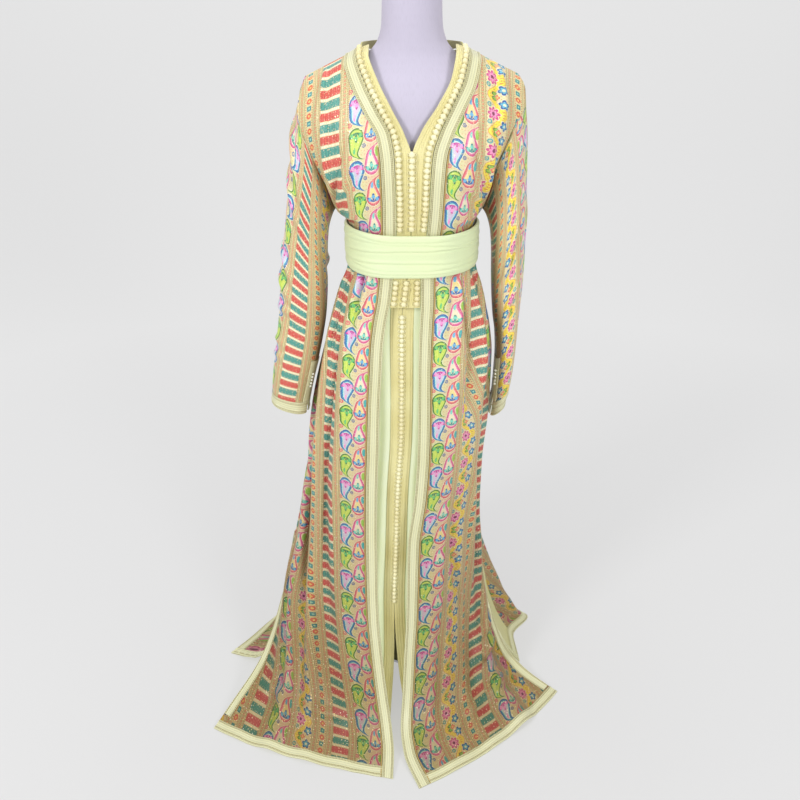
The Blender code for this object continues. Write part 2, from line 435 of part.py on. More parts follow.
# the rows of knotted buttons stop at the sash and go on under it, rows of the plastron's table
BUTTON_ROWS = {"buttons_": [0.15, 1, 2, 3, 4, 4.7, 5, 6, 7, 8.02], "buttons_low_": [9.99, 10.5, 11, 11.2]}
UNDER_BAND = 0.024
def plastron_fn(side):
    t, flip = (FL, 1.0) if side == "l" else (FR, -1.0)
    k = 1 if side == "l" else 4
    edge = [[r[k + i] for r in PLASTRON] for i in range(3)]
    def fn(s, tau):
        s, tau = np.broadcast_arrays(np.asarray(s, float), np.asarray(tau, float))
        inner = np.stack([smooth(e, tau) for e in edge], -1)
        outer = front_base(t, np.zeros_like(s), tau) + np.array([(2 * GAP if side == "l" else -2 * GAP), 0, 0])
        return inner + (outer - inner) * s[..., None]
    return fn, flip

def collar_point(a, w):
    """Stand collar: a from the left shoulder (-pi/2) round the back to the right, w from its seam to its top edge."""
    h = 0.010 + 0.016 * np.cos(a) ** 2
    x = (0.1000 - 0.004 * w) * np.sin(a)
    y = -0.0010 + (0.0710 - 0.005 * w) * np.cos(a)
    return np.stack([x, y, 1.4800 + 0.0125 * np.sin(a) ** 2 + h * w], -1)

def belt_ring(z, n):
    """Inner face of the sash at height z, n points once round from the left side by the front; and outward normals."""
    row = lambda col, t=FL: np.interp(-z, -t["zo"][:15], t[col][:15])
    xl, xr = -0.1385, 0.1375
    il, ir = row("xi"), row("xi", FR)
    yf = row("yi") - 0.0078; yb = np.interp(-z, -BK["zl"][:15], BK["yc"][:15]) + 0.0045
    ang = np.linspace(0, 2 * np.pi, n, endpoint=False)          # 0 left, pi/2 front, pi right, 3pi/2 back
    cx, sn = np.cos(ang), np.sin(ang)
    front = sn >= 0
    x = np.where(front, np.where(cx > 0, il + (xl - il) * cx, ir + (xr - ir) * -cx), (xl + xr) / 2 + (xl - xr) / 2 * cx)
    y = np.where(front, yf * sn, -yb * sn)
    p = np.stack([x, y, np.full(n, z)], -1)
    a = np.where(front, np.where(cx > 0, np.abs(xl - il), np.abs(xr - ir)), (xr - xl) / 2)
    b = np.where(front, -yf, yb)
    nrm = np.stack([-cx / a, -sn / b, 0 * cx], -1)
    return p, nrm / np.linalg.norm(nrm, axis=1, keepdims=True)

# ------------------------------------------------------------------ grids
def arc_columns(fn, taus, spec, n=121):
    """Fractions s of each row at cloth distances given by spec: ('in', u), ('out', u) or ('mid', share of the rest)."""
    sf = np.linspace(0, 1, n)
    out = np.zeros((len(taus), len(spec)))
    u_in = max([u for k, u in spec if k == "in"] + [0.0]); u_out = max([u for k, u in spec if k == "out"] + [0.0])
    for i, t in enumerate(taus):
        p = fn(sf, np.full(n, float(t)))
        u = np.concatenate([[0], np.cumsum(np.linalg.norm(np.diff(p, axis=0), axis=1))])
        total = u[-1]
        want = [v if k == "in" else total - v if k == "out" else u_in + (total - u_in - u_out) * v for k, v in spec]
        out[i] = np.interp(want, u, sf)
    return out

def grid_normals(P, flip):
    """Vertex normals of the grid's own triangles, so that layers stacked on one grid stay parallel."""
    N = np.zeros_like(P)
    a, b, d, e = P[:-1, :-1], P[:-1, 1:], P[1:, :-1], P[1:, 1:]
    for n, at in ((np.cross(b - a, e - a), ((0, 0), (0, 1), (1, 1))), (np.cross(e - a, d - a), ((0, 0), (1, 1), (1, 0)))):
        n = n / np.maximum(np.linalg.norm(n, axis=-1, keepdims=True), 1e-12)
        for di, dj in at:
            N[di:N.shape[0] - 1 + di, dj:N.shape[1] - 1 + dj] += n
    return flip * N / np.maximum(np.linalg.norm(N, axis=-1, keepdims=True), 1e-12)

def grid_of(fn, flip, S, taus):
    T = np.asarray(taus, float)
    T = T[:, None] + 0 * S if T.ndim < S.ndim else T
    P = fn(S, T)
    return P, grid_normals(P, flip) if P.ndim == 3 else normals_of(fn, S, T, flip=flip)

def inset(P, share=0.03):
    """A strip's grid with its end columns drawn in along its own facets."""
    Q = P.copy()
    Q[:, 0] += (P[:, 1] - P[:, 0]) * share; Q[:, -1] -= (P[:, -1] - P[:, -2]) * share
    return Q

def hem_rows(fn, S, last, width):
    """Table row, for each column, that lies the given cloth distance above the hem."""
    tt = np.linspace(last - 2, last, 161)
    out = []
    for s in S[-1]:
        p = fn(np.full(161, s), tt)
        v = np.concatenate([[0], np.cumsum(np.linalg.norm(np.diff(p, axis=0), axis=1))])
        out.append(np.interp(v[-1] - width, v, tt))
    return np.array(out)

MATERIALS = {}
def material(name, colour, rough, metal=0.0):
    m = bpy.data.materials.new(name)
    m.use_nodes = True
    b = m.node_tree.nodes["Principled BSDF"]
    b.inputs["Base Color"].default_value = (*colour, 1)
    b.inputs["Roughness"].default_value = rough
    b.inputs["Metallic"].default_value = metal
    m.diffuse_color = (*colour, 1)
    MATERIALS[name] = m
    return m

def add_mesh(name, verts, faces, mat):
    verts = np.asarray(verts) + np.array(SHIFT)
    bm = bmesh.new()
    vs = [bm.verts.new(v) for v in verts]
    for f in faces:
        bm.faces.new([vs[i] for i in f])
    bm.normal_update()
    bmesh.ops.recalc_face_normals(bm, faces=bm.faces[:])
    me = bpy.data.meshes.new(name)
    bm.to_mesh(me); bm.free()
    me.shade_smooth(); me.set_sharp_from_angle(angle=math.radians(40))
    ob = bpy.data.objects.new(name, me)
    me.materials.append(mat)
    bpy.context.scene.collection.objects.link(ob)
    return ob

def wall(name, P, N, lo, hi, mat, closed=False):
    """A cloth wall: the grid P moved lo and hi along its normals, with rims. closed joins the last column to the first."""
    r, c = P.shape[:2]
    verts = np.concatenate([(P + N * lo).reshape(-1, 3), (P + N * hi).reshape(-1, 3)])
    k = r * c
    faces = []
    cols = c if closed else c - 1
    for i in range(r - 1):
        for j in range(cols):
            a, b = i * c + j, i * c + (j + 1) % c
            d, e = a + c, b + c
            faces += [(a, b, e), (a, e, d), (k + a, k + e, k + b), (k + a, k + d, k + e)]
    rims = [[j for j in range(c)], [(r - 1) * c + j for j in range(c)]]
    for ring in rims:
        n = len(ring) if closed else len(ring) - 1
        for j in range(n):
            a, b = ring[j], ring[(j + 1) % c]
            faces += [(a, b, k + b), (a, k + b, k + a)]
    if not closed:
        for j in (0, c - 1):
            for i in range(r - 1):
                a, b = i * c + j, (i + 1) * c + j
                faces += [(a, b, k + b), (a, k + b, k + a)]
    return add_mesh(name, verts, faces, mat)

def cord(name, points, radius, mat, sides=6):
    """A row of knotted buttons as its plain solid: a tube along the row with closed ends."""
    pts = np.asarray(points); n = len(pts)
    tan = np.gradient(pts, axis=0); tan /= np.linalg.norm(tan, axis=1, keepdims=True)
    ref = np.array([0.0, 1.0, 0.0])
    verts, faces = [], []
    for p, t in zip(pts, tan):
        a = np.cross(t, ref); a /= np.linalg.norm(a); b = np.cross(t, a)
        verts += [p + radius * (math.cos(2 * math.pi * i / sides) * a + math.sin(2 * math.pi * i / sides) * b) for i in range(sides)]
    for i in range(n - 1):
        for j in range(sides):
            a, b = i * sides + j, i * sides + (j + 1) % sides
            faces += [(a, b, b + sides), (a, b + sides, a + sides)]
    first, last = len(verts), len(verts) + 1
    verts += [pts[0], pts[-1]]
    for j in range(sides):
        faces += [(first, (j + 1) % sides, j), (last, (n - 1) * sides + j, (n - 1) * sides + (j + 1) % sides)]
    return add_mesh(name, verts, faces, mat)

def turned(name, rings, mat, sides=20):
    """Stacked elliptical sections (z, half width, front depth, back depth), closed at both ends."""
    verts, faces = [], []
    for z, a, f, b in rings:
        for i in range(sides):
            w = 2 * math.pi * i / sides
            y = -math.cos(w); verts.append((a * math.sin(w), y * (f if y < 0 else b), z))
    n = len(rings)
    for i in range(n - 1):
        for j in range(sides):
            a, b = i * sides + j, i * sides + (j + 1) % sides
            faces.append((a, b, b + sides, a + sides))
    faces += [tuple(range(sides))[::-1], tuple((n - 1) * sides + j for j in range(sides))]
    ob = add_mesh(name, verts, faces, mat)
    return ob

# ------------------------------------------------------------------ build
for ob in list(bpy.data.objects):
    bpy.data.objects.remove(ob, do_unlink=True)

PRINT = material("printed_silk", (0.80, 0.62, 0.36), 0.45)
SATIN = material("pale_satin", (0.87, 0.86, 0.62), 0.35)
MINT = material("mint_satin", (0.82, 0.88, 0.66), 0.32)
BRAID = material("sfifa_braid", (0.86, 0.80, 0.50), 0.5)
KNOT = material("knot_buttons", (0.93, 0.88, 0.66), 0.5)
SASH = material("sash_crepe", (0.88, 0.95, 0.62), 0.6)
LINEN = material("form_linen", (0.70, 0.67, 0.84), 0.85)
METAL = material("stand_steel", (0.75, 0.75, 0.77), 0.35, 0.9)
WHITE = material("button_white", (0.92, 0.92, 0.88), 0.4)

# the robe's front panels and their bands
FRONT_TAUS = [0, 1, 2, 3, 4, 5, 6, 7, 8.02, 9, 9.99, 11, 12, 13.5, 15, 16, 17, 18, 19, 20, 21, 22, 23, 24]
MID = 8
for side in ("l", "r"):
    fn, flip = front_fn(side)
    spec = [("in", 0.0), ("in", BORDER_W)] + [("mid", (i + 1) / (MID + 1)) for i in range(MID)] + [("out", SLIT_W), ("out", 0.0)]
    taus = FRONT_TAUS + [24.7, 25.0]
    S = arc_columns(fn, taus, spec)
    T = np.repeat(np.array(taus, float)[:, None], S.shape[1], 1)
    T[-2] = hem_rows(fn, S, 25, HEM_W)
    T[-3] = np.minimum(T[-3], T[-2] - 0.4)
    P, N = grid_of(fn, flip, S, T)
    wall("robe_front_" + side, P, N, 0.0, CLOTH, PRINT)
    lo, hi = CLOTH + GAP, CLOTH + GAP + TRIM
    wall("front_border_" + side, P[:, :2], N[:, :2], lo, hi, SATIN)
    wall("hem_band_" + side, inset(P[-2:, 1:-1]), inset(N[-2:, 1:-1]), lo, hi, SATIN)
    k = taus.index(19)
    wall("slit_band_front_" + side, P[k:, -2:], N[k:, -2:], lo, hi, SATIN)

# plastron: the braided strips between the front bands, from the neck's V to below the sash
for side in ("l", "r"):
    fn, flip = plastron_fn(side)
    S, T = np.meshgrid([0.0, 0.5, 1.0], PLASTRON_TAUS)
    P, N = grid_of(fn, flip, S, T)
    wall("plastron_" + side, P, N, 0.0, CLOTH, BRAID)
    for name, t in BUTTON_ROWS.items():
        P, N = grid_of(fn, flip, np.full(len(t), 0.77), np.array(t))
        cord(name + side, P + N * (CLOTH + GAP + BUTTON_R), BUTTON_R, KNOT)
for name, t in BUTTON_ROWS.items():
    t = np.array([v for v in t if v > 4.6] if t[0] < 4 else t)
    c = sum(grid_of(*plastron_fn(side), np.zeros(len(t)), t)[0] for side in "lr") / 2
    cord(name + "c", c - np.array([0, CLOTH + 2 * GAP + BUTTON_R, 0]), BUTTON_R, KNOT)

# back, with its hem and slit bands
fn, flip = back_fn()
BACK_TAUS = [0, 1, 2, 3, 4, 5, 6, 7, 8, 9, 10, 11, 12, 13.5, 15, 16, 17, 18, 19, 20, 21, 22, 23, 24, 24.7, 25]
NB = 18
spec = [("in", 0.0), ("in", SLIT_W)] + [("mid", (i + 1) / (NB - 3)) for i in range(NB - 4)] + [("out", SLIT_W), ("out", 0.0)]
S = arc_columns(fn, BACK_TAUS, spec)
T = np.repeat(np.array(BACK_TAUS, float)[:, None], S.shape[1], 1)
T[-2] = hem_rows(fn, S, BACK_LAST, HEM_W)
T[-3] = np.minimum(T[-3], T[-2] - 0.4)
P, N = grid_of(fn, flip, S, T)
wall("robe_back", P, N, 0.0, CLOTH, PRINT)
lo, hi = CLOTH + GAP, CLOTH + GAP + TRIM
k = BACK_TAUS.index(19)
wall("slit_band_back_l", P[k:, :2], N[k:, :2], lo, hi, SATIN)
wall("slit_band_back_r", P[k:, -2:], N[k:, -2:], lo, hi, SATIN)
wall("hem_band_back", inset(P[-2:, 1:-1]), inset(N[-2:, 1:-1]), lo, hi, SATIN)

# stand collar round the back of the neck
a = np.linspace(-math.pi / 2, math.pi / 2, 13)
P = np.stack([collar_point(a, w) for w in (0.0, 1.0)])
N = np.stack([np.stack([np.sin(a), np.cos(a), 0 * a], -1)] * 2)
wall("collar", P, N, -CLOTH, 0.0, SATIN)

# sleeves, cuffs and their buttons
for side in ("l", "r"):
    fn, flip = sleeve_fn(side)
    rows = FL if side == "l" else FR
    up = (rows["zo"][:8] - 1.1862) / (rows["zo"][0] - 1.1862)
    turn = np.arccos(np.clip(2 * up - 1, -1, 1)) / (2 * np.pi)          # the panels' rows, as angles round the armhole
    cols = (np.concatenate([turn, 1 - turn[1:-1]]) - SLEEVE_SEAM[side] - 0.0012) / 0.9976 % 1
    cols = np.concatenate([[0.0, 0.07], sorted(c for c in cols if 0.10 < c < 0.90), [0.93, 1.0]])
    taus = [0, 1, 2, 3, 4, 5, 6, 7, 8, 9.2, 10.3, 11]
    S, T = np.meshgrid(cols, np.array(taus, float))
    P, N = grid_of(fn, flip, S, T)
    wall("sleeve_" + side, P, N, 0.0, CLOTH, PRINT)
    wall("cuff_band_" + side, P[-2:], N[-2:], lo, hi, SATIN)
    for name, cut in (("a", np.s_[-4:-1, :2]), ("b", np.s_[-4:-1, -2:])):
        Q, M = P[cut].copy(), N[cut].copy()
        Q[2] -= (Q[2] - Q[1]) * 0.03; M[2] -= (M[2] - M[1]) * 0.03
        wall("cuff_facing_%s_%s" % (name, side), Q, M, lo, hi, SATIN)
    Q, M = P[-4:-1, -2:].mean(1), N[-4:-1, -2:].mean(1)
    Q = np.stack([Q[0] * 0.60 + Q[1] * 0.40, Q[1], Q[1] * 0.85 + Q[2] * 0.15])
    cord("cuff_buttons_" + side, Q + M * (hi + 2 * GAP + 0.003), 0.003, WHITE)

# underdress, its placket bands and buttons
UNDER_TAUS = [0, 1, 2, 3, 4, 5, 7, 8, 9, 10, 11, 12, 13, 14, 15, 16, 17]
for side in ("l", "r"):
    fn, flip = under_fn(side)
    spec = [("in", 0.0), ("in", UNDER_BAND)] + [("mid", v) for v in (0.25, 0.5, 0.75)] + [("out", 0.0)]
    S = arc_columns(fn, UNDER_TAUS, spec)
    P, N = grid_of(fn, flip, S, UNDER_TAUS)
    wall("under_front_" + side, P, N, 0.0, CLOTH, MINT)
    wall("under_band_" + side, P[3:, :2], N[3:, :2], lo, hi, BRAID)
fn, flip = under_fn("b")
S, T = np.meshgrid(np.linspace(0, 1, 11), np.array(UNDER_TAUS, float))
P, N = grid_of(fn, flip, S, T)
wall("under_back", P, N, 0.0, CLOTH, MINT)
t = np.array([6.2, 7, 8, 9, 10, 11, UNDER_SLIT_ROW])
zc = {k: smooth(v, t) for k, v in UD.items()}
cord("under_buttons", np.stack([zc["xp"], zc["yp"] - (hi + GAP + BUTTON_R * 0.85), zc["z"]], -1), BUTTON_R * 0.85, KNOT)

# the wrapped sash
zs = np.linspace(*BELT_Z, 5)
ring = [belt_ring(z, 36) for z in zs]
P = np.stack([r[0] for r in ring]); N = np.stack([r[1] for r in ring])
puff = np.array([0.0040, 0.0056, 0.0050, 0.0058, 0.0042])[:, None, None]
wall("sash", P, N, 0.0, puff, SASH, closed=True)

# the limbless form, its neck cap, pole and base
turned("form_torso", [(z, a, f, b) for _, z, a, f, b in FORM], LINEN, 24)
turned("form_neck_cap", [(1.5854, 0.0560, 0.0445, 0.0465), (1.5940, 0.0560, 0.0445, 0.0465), (1.5975, 0.0500, 0.0400, 0.0415)], METAL, 20)
turned("form_pole", [(0.0184, 0.016, 0.016, 0.016), (0.7896, 0.016, 0.016, 0.016)], METAL, 16)
turned("form_base", [(0.0, 0.138, 0.138, 0.138), (0.008, 0.138, 0.138, 0.138), (0.014, 0.125, 0.125, 0.125), (0.018, 0.040, 0.040, 0.040)], METAL, 28)
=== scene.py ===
"""Looks for the kaftan on its dress form: the same tables and surfaces as the solids, at cloth resolution, with
creases, braids, knotted buttons, a pleated sash and a print drawn with shader maths."""
import math
import bpy
import bmesh
import numpy as np
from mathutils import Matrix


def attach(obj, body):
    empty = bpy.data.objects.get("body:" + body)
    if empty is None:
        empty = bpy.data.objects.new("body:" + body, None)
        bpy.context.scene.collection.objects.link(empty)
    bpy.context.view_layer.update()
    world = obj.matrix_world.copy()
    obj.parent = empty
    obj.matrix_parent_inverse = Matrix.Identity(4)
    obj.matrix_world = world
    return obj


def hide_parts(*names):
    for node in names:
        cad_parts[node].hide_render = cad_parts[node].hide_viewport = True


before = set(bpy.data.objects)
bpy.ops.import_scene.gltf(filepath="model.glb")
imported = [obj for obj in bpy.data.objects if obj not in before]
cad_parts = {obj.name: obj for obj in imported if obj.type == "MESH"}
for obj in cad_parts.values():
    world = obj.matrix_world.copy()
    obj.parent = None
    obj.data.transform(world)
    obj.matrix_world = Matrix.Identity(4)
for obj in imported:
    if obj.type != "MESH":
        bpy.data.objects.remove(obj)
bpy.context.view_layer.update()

# ------------------------------------------------------------------ driving dimensions (metres, +Z up, front faces -Y)
CLOTH = 0.0015          # wall of every cloth piece
TRIM = 0.0012           # wall of a band sewn on a panel
GAP = 0.0004            # clearance at seams and between layers
BORDER_W = 0.026        # pale satin band down each front edge
HEM_W = 0.024           # band along the hems
SLIT_W = 0.022          # band along the side slits
SLIT_ROW = 19.0         # table row at which the side slits open
BUTTON_R = 0.0046       # knotted cord button
BELT_Z = (1.074, 1.162) # lower and upper edge of the sash
SHIFT = (0.05945, 0.12885, 0.0)     # puts the middle of the footprint on the origin

# one row for each cross-section of a front panel, shoulder to hem: inner (front) edge, outer (side) edge and
# how far the section rounds from a straight line (0) to a quarter ellipse (1)
FRONT_COLUMNS = ("name", "xi", "yi", "zi", "xo", "yo", "zo", "rnd")
FRONT_L = (
    ("shoulder",   -0.1040, -0.0040, 1.4900, -0.2050, -0.0020, 1.4420, 0.00),
    ("yoke",       -0.1050, -0.0440, 1.4780, -0.2140, -0.0240, 1.4220, 0.10),
    ("collarbone", -0.0880, -0.0800, 1.4340, -0.2220, -0.0400, 1.3820, 0.30),
    ("chest",      -0.0630, -0.1040, 1.3880, -0.2130, -0.0520, 1.3420, 0.50),
    ("neck point", -0.0410, -0.1190, 1.3490, -0.1980, -0.0540, 1.3020, 0.70),
    ("upper bust", -0.0340, -0.1290, 1.3090, -0.1830, -0.0460, 1.2620, 0.85),
    ("bust",       -0.0320, -0.1330, 1.2650, -0.1680, -0.0260, 1.2230, 0.95),
    ("underarm",   -0.0310, -0.1310, 1.2200, -0.1580, -0.0003, 1.1860, 1.00),
    ("ribs",       -0.0310, -0.1270, 1.1700, -0.1335, -0.0003, 1.1640, 1.00),
    ("waist",      -0.0340, -0.1220, 1.1150, -0.1310, -0.0003, 1.1120, 1.00),
    ("belt foot",  -0.0390, -0.1240, 1.0680, -0.1345, -0.0003, 1.0700, 1.00),
    ("high hip",   -0.0440, -0.1310, 1.0250, -0.1540, -0.0003, 1.0250, 1.00),
    ("hip",        -0.0530, -0.1390, 0.9800, -0.1700, -0.0003, 0.9800, 1.00),
    ("seat",       -0.0600, -0.1460, 0.9300, -0.1850, -0.0003, 0.9300, 1.00),
    ("thigh",      -0.0640, -0.1540, 0.8700, -0.1990, -0.0003, 0.8700, 1.00),
    ("mid thigh",  -0.0690, -0.1630, 0.7950, -0.2150, -0.0003, 0.7950, 1.00),
    ("low thigh",  -0.0730, -0.1760, 0.6950, -0.2320, -0.0010, 0.6950, 1.00),
    ("knee",       -0.0780, -0.1920, 0.5750, -0.2490, -0.0030, 0.5800, 0.97),
    ("calf",       -0.0800, -0.2120, 0.4550, -0.2670, -0.0100, 0.4600, 0.92),
    ("slit top",   -0.0800, -0.2320, 0.3650, -0.2880, -0.0240, 0.3700, 0.85),
    ("shin",       -0.0780, -0.2560, 0.2750, -0.3120, -0.0480, 0.2750, 0.75),
    ("low shin",   -0.0700, -0.2880, 0.1830, -0.3400, -0.0820, 0.1850, 0.65),
    ("ankle",      -0.0590, -0.3280, 0.1020, -0.3660, -0.1250, 0.1080, 0.55),
    ("break",      -0.0480, -0.3730, 0.0480, -0.3980, -0.1820, 0.0520, 0.48),
    ("train",      -0.0420, -0.4220, 0.0150, -0.4430, -0.2540, 0.0160, 0.42),
    ("hem",        -0.0430, -0.4760, 0.0000, -0.4830, -0.3400, 0.0000, 0.36),
)
FRONT_R = (
    ("shoulder",    0.1060, -0.0040, 1.4910,  0.2050, -0.0020, 1.4460, 0.00),
    ("yoke",        0.1070, -0.0410, 1.4820,  0.2170, -0.0220, 1.4260, 0.10),
    ("collarbone",  0.0970, -0.0760, 1.4400,  0.2180, -0.0400, 1.3900, 0.30),
    ("chest",       0.0760, -0.1000, 1.3980,  0.1990, -0.0560, 1.3600, 0.50),
    ("neck point",  0.0530, -0.1170, 1.3520,  0.1830, -0.0580, 1.3220, 0.70),
    ("upper bust",  0.0400, -0.1270, 1.3120,  0.1680, -0.0500, 1.2820, 0.85),
    ("bust",        0.0360, -0.1330, 1.2650,  0.1560, -0.0280, 1.2300, 0.95),
    ("underarm",    0.0340, -0.1310, 1.2200,  0.1450, -0.0003, 1.1860, 1.00),
    ("ribs",        0.0300, -0.1270, 1.1700,  0.1325, -0.0003, 1.1640, 1.00),
    ("waist",       0.0230, -0.1220, 1.1150,  0.1290, -0.0003, 1.1120, 1.00),
    ("belt foot",   0.0180, -0.1240, 1.0680,  0.1335, -0.0003, 1.0700, 1.00),
    ("high hip",    0.0180, -0.1310, 1.0250,  0.1480, -0.0003, 1.0250, 1.00),
    ("hip",         0.0160, -0.1390, 0.9800,  0.1610, -0.0003, 0.9800, 1.00),
    ("seat",        0.0140, -0.1460, 0.9300,  0.1730, -0.0003, 0.9300, 1.00),
    ("thigh",       0.0130, -0.1540, 0.8700,  0.1790, -0.0003, 0.8700, 1.00),
    ("mid thigh",   0.0130, -0.1630, 0.7950,  0.1760, -0.0003, 0.7950, 1.00),
    ("low thigh",   0.0120, -0.1760, 0.6950,  0.1710, -0.0010, 0.6950, 1.00),
    ("knee",        0.0050, -0.1920, 0.5750,  0.1640, -0.0030, 0.5800, 0.97),
    ("calf",       -0.0100, -0.2120, 0.4550,  0.1640, -0.0080, 0.4600, 0.92),
    ("slit top",   -0.0120, -0.2320, 0.3650,  0.1670, -0.0160, 0.3700, 0.85),
    ("shin",       -0.0140, -0.2560, 0.2750,  0.1730, -0.0280, 0.2750, 0.75),
    ("low shin",   -0.0190, -0.2880, 0.1830,  0.1940, -0.0480, 0.1850, 0.65),
    ("ankle",      -0.0230, -0.3280, 0.1020,  0.2180, -0.0850, 0.1080, 0.52),
    ("break",      -0.0270, -0.3730, 0.0480,  0.2480, -0.1250, 0.0520, 0.42),
    ("train",      -0.0180, -0.4260, 0.0150,  0.3050, -0.1770, 0.0160, 0.34),
    ("hem",         0.0160, -0.5000, 0.0000,  0.3730, -0.2290, 0.0000, 0.28),
)
# the main folds of a front panel: a ridge centred on fraction s (at its top and at the hem) of the section's width,
# its half width in the same fraction, its height, and the table rows between which it grows
FOLD_COLUMNS = ("name", "s_top", "s_hem", "half", "height", "row_from", "row_full")
FOLDS_L = (
    ("side fold",    0.84, 0.60, 0.070, 0.024, 16.5, 20.0),
    ("middle fold",  0.60, 0.40, 0.060, 0.016, 15.0, 20.0),
    ("inner fold",   0.30, 0.22, 0.060, 0.008, 16.0, 21.0),
    ("hip fold",     0.72, 0.80, 0.060, 0.007, 11.5, 15.0),
)
FOLDS_R = (
    ("side fold",    0.86, 0.66, 0.075, 0.024, 17.5, 21.0),
    ("middle fold",  0.58, 0.46, 0.060, 0.010, 16.0, 21.0),
    ("inner fold",   0.26, 0.20, 0.060, 0.007, 16.0, 21.0),
    ("hip fold",     0.66, 0.70, 0.060, 0.006, 11.5, 15.0),
)
# one row for each cross-section of the back: left and right side edges and the centre back
BACK_COLUMNS = ("name", "xl", "yl", "zl", "xr", "yr", "zr", "xc", "yc", "zc", "rnd")
BACK = (
    ("shoulder",   -0.2050, 0.0020, 1.4420, 0.2050, 0.0020, 1.4460,  0.000, 0.0760, 1.4780, 0.00),
    ("yoke",       -0.2140, 0.0240, 1.4220, 0.2170, 0.0240, 1.4260,  0.000, 0.0900, 1.4480, 0.60),
    ("blade",      -0.2180, 0.0420, 1.3820, 0.2180, 0.0420, 1.3860,  0.000, 0.1080, 1.4000, 0.80),
    ("upper back", -0.2080, 0.0520, 1.3400, 0.2030, 0.0540, 1.3520,  0.000, 0.1180, 1.3520, 0.90),
    ("back",       -0.1950, 0.0520, 1.3020, 0.1870, 0.0540, 1.3160,  0.000, 0.1210, 1.3050, 0.95),
    ("mid back",   -0.1820, 0.0440, 1.2620, 0.1710, 0.0460, 1.2780,  0.000, 0.1200, 1.2600, 1.00),
    ("low back",   -0.1680, 0.0260, 1.2230, 0.1570, 0.0280, 1.2300,  0.000, 0.1180, 1.2200, 1.00),
    ("underarm",   -0.1580, 0.0003, 1.1860, 0.1450, 0.0003, 1.1860,  0.000, 0.1160, 1.1840, 1.00),
    ("ribs",       -0.1335, 0.0003, 1.1640, 0.1325, 0.0003, 1.1640, -0.002, 0.1130, 1.1640, 1.00),
    ("waist",      -0.1310, 0.0003, 1.1120, 0.1290, 0.0003, 1.1120, -0.002, 0.1120, 1.1120, 1.00),
    ("belt foot",  -0.1345, 0.0003, 1.0700, 0.1335, 0.0003, 1.0700, -0.002, 0.1170, 1.0700, 1.00),
    ("high hip",   -0.1540, 0.0003, 1.0250, 0.1480, 0.0003, 1.0250, -0.003, 0.1280, 1.0250, 1.00),
    ("hip",        -0.1700, 0.0003, 0.9800, 0.1610, 0.0003, 0.9800, -0.004, 0.1400, 0.9800, 1.00),
    ("seat",       -0.1850, 0.0003, 0.9300, 0.1730, 0.0003, 0.9300, -0.006, 0.1490, 0.9300, 1.00),
    ("thigh",      -0.1990, 0.0003, 0.8700, 0.1790, 0.0003, 0.8700, -0.010, 0.1540, 0.8700, 1.00),
    ("mid thigh",  -0.2150, 0.0003, 0.7950, 0.1760, 0.0003, 0.7950, -0.018, 0.1580, 0.7950, 1.00),
    ("low thigh",  -0.2320, 0.0010, 0.6950, 0.1710, 0.0010, 0.6950, -0.028, 0.1650, 0.6950, 1.00),
    ("knee",       -0.2490, 0.0010, 0.5800, 0.1640, 0.0010, 0.5800, -0.040, 0.1730, 0.5780, 1.00),
    ("calf",       -0.2660, 0.0010, 0.4600, 0.1650, 0.0010, 0.4600, -0.048, 0.1830, 0.4580, 1.00),
    ("slit top",   -0.2860, 0.0000, 0.3700, 0.1730, 0.0000, 0.3700, -0.052, 0.1930, 0.3650, 1.00),
)
# the back hem as it lies on the floor, left corner to right corner
HEM_COLUMNS = ("name", "s", "x", "y")
BACK_HEM = (
    ("left corner",  0.00, -0.492, -0.098),
    ("left sweep",   0.10, -0.388,  0.040),
    ("left fold",    0.20, -0.305,  0.128),
    ("left back",    0.32, -0.205,  0.190),
    ("centre back",  0.46, -0.085,  0.232),
    ("right back",   0.60,  0.030,  0.212),
    ("right fold",   0.72,  0.125,  0.150),
    ("flap back",    0.82,  0.215,  0.088),
    ("flap tip",     0.90,  0.333,  0.040),
    ("flap front",   0.955, 0.283, -0.036),
    ("slit foot",    1.00,  0.288, -0.128),
)
BACK_DROP_ROWS = 6      # rows from the slit top to the hem
# height and spread of the back below the slit top: fraction of the way out to the hem curve, height above the floor
DROP_COLUMNS = ("name", "spread", "z")
BACK_DROP = (
    ("slit top", 0.000, 0.3700),
    ("shin",     0.170, 0.2750),
    ("low shin", 0.350, 0.1850),
    ("ankle",    0.540, 0.1080),
    ("break",    0.715, 0.0520),
    ("train",    0.860, 0.0160),
    ("hem",      1.000, 0.0000),
)
# the back's own slit edges below the slit top, on the rows of BACK_DROP
EDGE_COLUMNS = ("name", "xl", "yl", "zl", "xr", "yr", "zr")
BACK_EDGE = (
    ("slit top", -0.2860,  0.0000, 0.3700, 0.1730,  0.0000, 0.3700),
    ("shin",     -0.2980, -0.0150, 0.2750, 0.1730, -0.0060, 0.2750),
    ("low shin", -0.3160, -0.0400, 0.1850, 0.1840, -0.0240, 0.1850),
    ("ankle",    -0.3350, -0.0720, 0.1050, 0.2030, -0.0480, 0.1050),
    ("break",    -0.3620, -0.1050, 0.0480, 0.2320, -0.0740, 0.0450),
    ("train",    -0.4170, -0.1250, 0.0120, 0.2620, -0.1040, 0.0120),
    ("hem",      -0.4920, -0.0980, 0.0000, 0.2880, -0.1280, 0.0000),
)
BACK_FOLDS = (
    ("left fold",    0.16, 0.15, 0.050, 0.016, 14.0, 20.0),
    ("left mid",     0.32, 0.33, 0.050, 0.018, 13.0, 20.0),
    ("centre",       0.50, 0.49, 0.050, 0.020, 12.0, 20.0),
    ("right mid",    0.68, 0.66, 0.050, 0.018, 13.0, 20.0),
    ("right fold",   0.84, 0.80, 0.045, 0.012, 14.0, 20.0),
)
